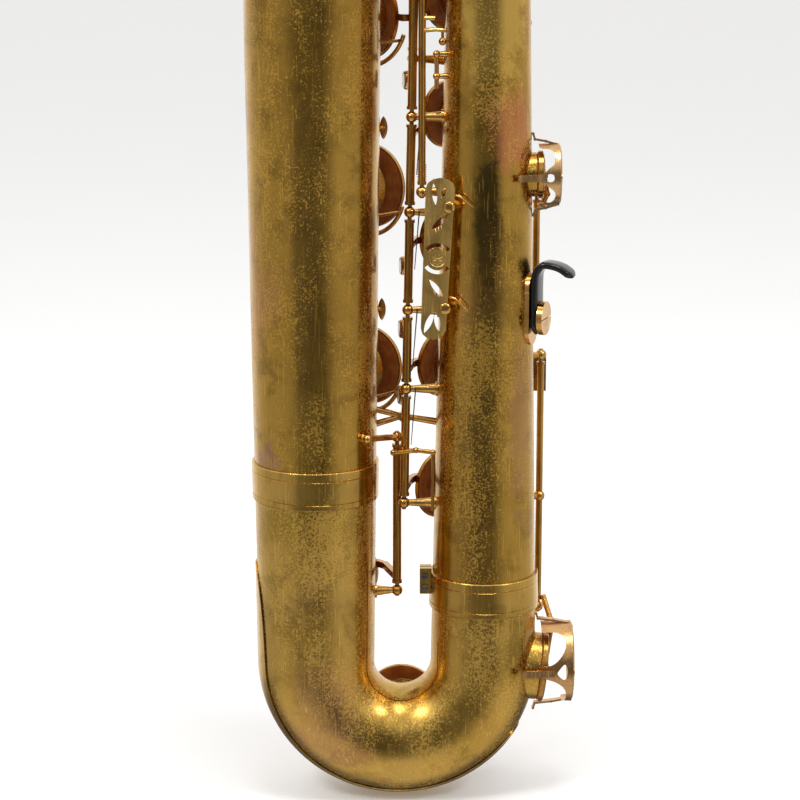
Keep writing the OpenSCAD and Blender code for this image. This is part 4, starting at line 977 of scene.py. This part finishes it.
# A short upright rod held by two arms from the body tube, below the G sharp key
small_x, small_y = 26.5, -10
small_arms = [bar([(small_x, small_y, z), (small_x + 8, small_y + 2, z)],
                  lambda t: lerp(1.5, 2.4, t)) for z in (566, 550)]
small_hinge = joined(
    bar([(small_x, small_y, 541), (small_x, small_y, 568)], 1.7),
    ball((small_x, small_y, 566), 2.8), ball((small_x, small_y, 550), 2.8), *small_arms)
piece("small_side_hinge", *small_hinge, finishes["polished_brass"], "horn", "polished_brass")

# The lever's side arm, with an adjusting screw hanging from it
screw_x, screw_y = 30.6, -16.4
lever_arm = joined(
    bar([(18, -11.5, 583), (26, -15, 584), (33.4, -17.2, 583.5)], 1.6),
    bar([(18, -11.5, 592), (25.5, -14, 592)], 1.7),
    bar([(screw_x, screw_y, 583), (screw_x, screw_y, 577)], 1.1),
    ball((screw_x, screw_y, 575.5), 2.9))
piece("lever_side_arm", *lever_arm, finishes["polished_brass"], "g_sharp_lever", "polished_brass")


LEAF_L = 17


def leaf(matrix):
    """A pointed leaf-shaped foot with a raised middle."""
    rings = []
    for k in range(17):
        t = k / 16
        half = 2.9 * math.sin(math.pi * t) ** 0.7 + 0.12
        thick = 0.9 * math.sin(math.pi * t) ** 0.6 + 0.1
        rings.append([Vector((half * math.cos(a), thick * math.sin(a), LEAF_L * (t - 0.5)))
                      for a in (2 * math.pi * i / 16 for i in range(16))])
    return moved(loft(rings), matrix)


for name, z in (("upper", 510), ("lower", 374)):
    place = on_tube(BELL_X, -72, z)
    foot = place @ shift(0, bell_r(z) + 5.4, 0) @ turn(70, "Z")
    stem = bar([(0, bell_r(z) - 0.5, 0), (0, bell_r(z) + 6.4, 0)], 1.4)
    piece(f"bell_leaf_{name}", *joined(leaf(foot), moved(stem, place)),
          finishes["polished_brass"], "horn", "polished_brass")

# Thin pins that curve from the clothes guard's posts down to the body tube
for name, path in (
    ("upper", [(39, -29, 466), (43, -31.5, 465.5), (48, -34, 461.5), (53, -35.5, 458)]),
    ("lower", [(36, -29, 391), (40, -31.5, 390.5), (45, -34.5, 386), (49.5, -36.5, 381.7)]),
):
    piece(f"guard_hook_{name}", *bar(smooth_path(path, 6), lambda t: lerp(1.1, 0.4, t), 12),
          finishes["polished_brass"], "horn", "polished_brass")


# ---- turned rings on the long rods ----

def grip_rings(rod, heights, r):
    ring = lathe([(r - 0.6, 0), (r + 0.7, 0.25), (r + 0.75, 0.85), (r - 0.6, 1.1)], 40, closed=True)
    return joined(*[moved(ring, shift(rod[0], rod[1], z)) for z in heights])


piece("lever_rod_rings", *grip_rings(LEVER_ROD, [473.4 + 1.7 * k for k in range(8)], 2.7),
      finishes["key_brass"], "g_sharp_lever", "key_brass")


# ---- the neck, as a smooth tapering pipe ----

ARCH_GAP, LOOP_R, LOOP_TURN = 72, 30, math.radians(-53)
NECK_Z, NECK_FOOT_Z, NECK_TURN = 1000, 975.25, 12
NECK_BEND, NECK_BEND_R, NECK_TAIL = math.radians(98), 44, 96
NECK_R, NECK_TIP_R = 14.6, 8.2


def neck_shell(sides=56):
    """A straight foot in the receiver, a bend over the player's side and a straight tail."""
    receiver = Vector((BODY_X - ARCH_GAP, 0, NECK_Z)) \
        + 2 * LOOP_R * Vector((math.cos(LOOP_TURN), math.sin(LOOP_TURN), 0))
    length = NECK_BEND_R * NECK_BEND + NECK_TAIL
    stations = [(0.0, NECK_FOOT_Z - NECK_Z, 0.0, NECK_R)]
    for k in range(57):
        a = NECK_BEND * k / 56
        stations.append((NECK_BEND_R * (1 - math.cos(a)), NECK_BEND_R * math.sin(a), a,
                         lerp(NECK_R, NECK_TIP_R, NECK_BEND_R * a / length)))
    out, up, a, _ = stations[-1]
    stations.append((out + NECK_TAIL * math.sin(a), up + NECK_TAIL * math.cos(a), a, NECK_TIP_R))
    rings = []
    for inset, path in ((0, stations), (WALL, stations[::-1])):
        for out, up, a, r in path:
            ring = []
            for i in range(sides):
                t = 2 * math.pi * i / sides
                x = out - (r - inset) * math.cos(t) * math.cos(a)
                side = (r - inset) * math.sin(t)
                rise = up + (r - inset) * math.cos(t) * math.sin(a)
                ring.append(receiver + turn(NECK_TURN, "Z") @ Vector((x, -side, rise)))
            rings.append(ring)
    return loft(rings + rings[:1], capped=False)


neck = piece("neck_shell", *neck_shell(), finishes["aged_lacquer"], "horn", "aged_lacquer", 40)
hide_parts("neck")


# ---- floor, light and camera ----

visual_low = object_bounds()[0]


def floor_material():
    f = Finish("pale_floor")
    mottle = f.noise(5, 4, 0.5)
    f.set(Base_Color=f.mix(mottle, (0.93, 0.93, 0.93), (0.9, 0.9, 0.9)), Roughness=0.8,
          Emission_Color=(1.0, 1.0, 1.0), Emission_Strength=0.1,
          Normal=f.bump(f.noise(400, 2, 0.5), 0.0002, 0.1))
    return f.material


floor_mesh = bpy.data.meshes.new("floor")
reach, floor_z = 12.0, visual_low.z - 0.0002
floor_corners = ((-reach, -reach), (reach, -reach), (reach, reach), (-reach, reach))
floor_mesh.from_pydata([(x, y, floor_z) for x, y in floor_corners], [], [(0, 1, 2, 3)])
floor_mesh.materials.append(floor_material())
floor = bpy.data.objects.new("floor", floor_mesh)
bpy.context.scene.collection.objects.link(floor)
floor.visible_glossy = False


# Brightness of the studio round the instrument, by heading in degrees from the camera's side
STUDIO = (
    (-150, 1.0), (-124, 0.6), (-95, 0.44), (-60, 0.4), (-42, 0.36), (-29, 0.18), (-4, 0.15),
    (5, 0.14), (21, 0.14), (33, 0.34), (47, 0.5), (80, 0.48), (122, 0.6), (150, 1.0),
)
OVERHEAD, BELOW, DARK_FOOT = (0.9, 0.9, 0.9), (0.74, 0.72, 0.69), (0.07, 0.065, 0.06)


def studio_world():
    """A white sweep behind, dim wings in front, a dark gap at the camera and a dark foot behind."""
    world = bpy.data.worlds.new("studio")
    world.use_nodes = True
    w = Tree(world.node_tree)
    output = w.nodes.new("ShaderNodeOutputWorld")
    back = w.nodes.new("ShaderNodeBackground")
    w.links.new(back.outputs[0], output.inputs[0])
    parts = w.nodes.new("ShaderNodeSeparateXYZ")
    w.put(parts.inputs[0], w.nodes.new("ShaderNodeTexCoord").outputs["Generated"])
    x, y, z = parts.outputs
    heading = w.math("ARCTAN2", x, w.math("MULTIPLY", y, -1.0))
    ramp = w.nodes.new("ShaderNodeValToRGB")
    w.put(ramp.inputs[0], w.math("ADD", w.math("MULTIPLY", heading, 0.5 / math.pi), 0.5))
    stops = ramp.color_ramp.elements
    stops.remove(stops[1])
    for k, (degrees, value) in enumerate(STUDIO):
        share = degrees / 360 + 0.5
        stop = stops.new(share) if k else stops[0]
        stop.position = share
        stop.color = (value, value * 0.985, value * 0.96, 1)
    sky = w.mix(w.span(z, 0.25, 0.7, 0.0, 0.75), ramp.outputs[0], OVERHEAD)
    sky = w.mix(w.span(z, -0.3, -0.62, 0.0, 0.85), sky, BELOW)
    foot = w.math("MULTIPLY", w.span(y, -0.1, 0.4, 0.0, 0.9), w.span(z, -0.3, -0.5))
    w.put(back.inputs[0], w.mix(foot, sky, DARK_FOOT))
    back.inputs[1].default_value = 1.05
    bpy.context.scene.world = world


def soft_light(name, place, target, size, energy):
    data = bpy.data.lights.new(name, "AREA")
    data.shape = "DISK"
    data.size = size
    data.energy = energy
    lamp = bpy.data.objects.new(name, data)
    lamp.location = place
    lamp.rotation_euler = (Vector(target) - Vector(place)).to_track_quat("-Z", "Y").to_euler()
    bpy.context.scene.collection.objects.link(lamp)


studio_world()
middle = TO_ROW @ Vector((0, 0, 400))
soft_light("key_light", (-1.5, -1.3, 1.7), middle, 0.7, 22)
soft_light("fill_light", (1.6, -1.1, 1.5), middle, 0.5, 14)
soft_light("top_light", (0.1, -0.5, 2.4), middle, 1.0, 20)

CAMERA_AT, CAMERA_DOWN = (0, -1757.3, 697.3), 12.5
camera_data = bpy.data.cameras.new("camera")
camera_data.lens = 108
camera_data.sensor_width = 36
camera = bpy.data.objects.new("camera", camera_data)
camera.location = TO_ROW @ Vector(CAMERA_AT)
camera.rotation_euler = (math.radians(90 - CAMERA_DOWN), 0, 0)
bpy.context.scene.collection.objects.link(camera)
bpy.context.scene.camera = camera
bpy.context.scene.view_settings.view_transform = "Standard"
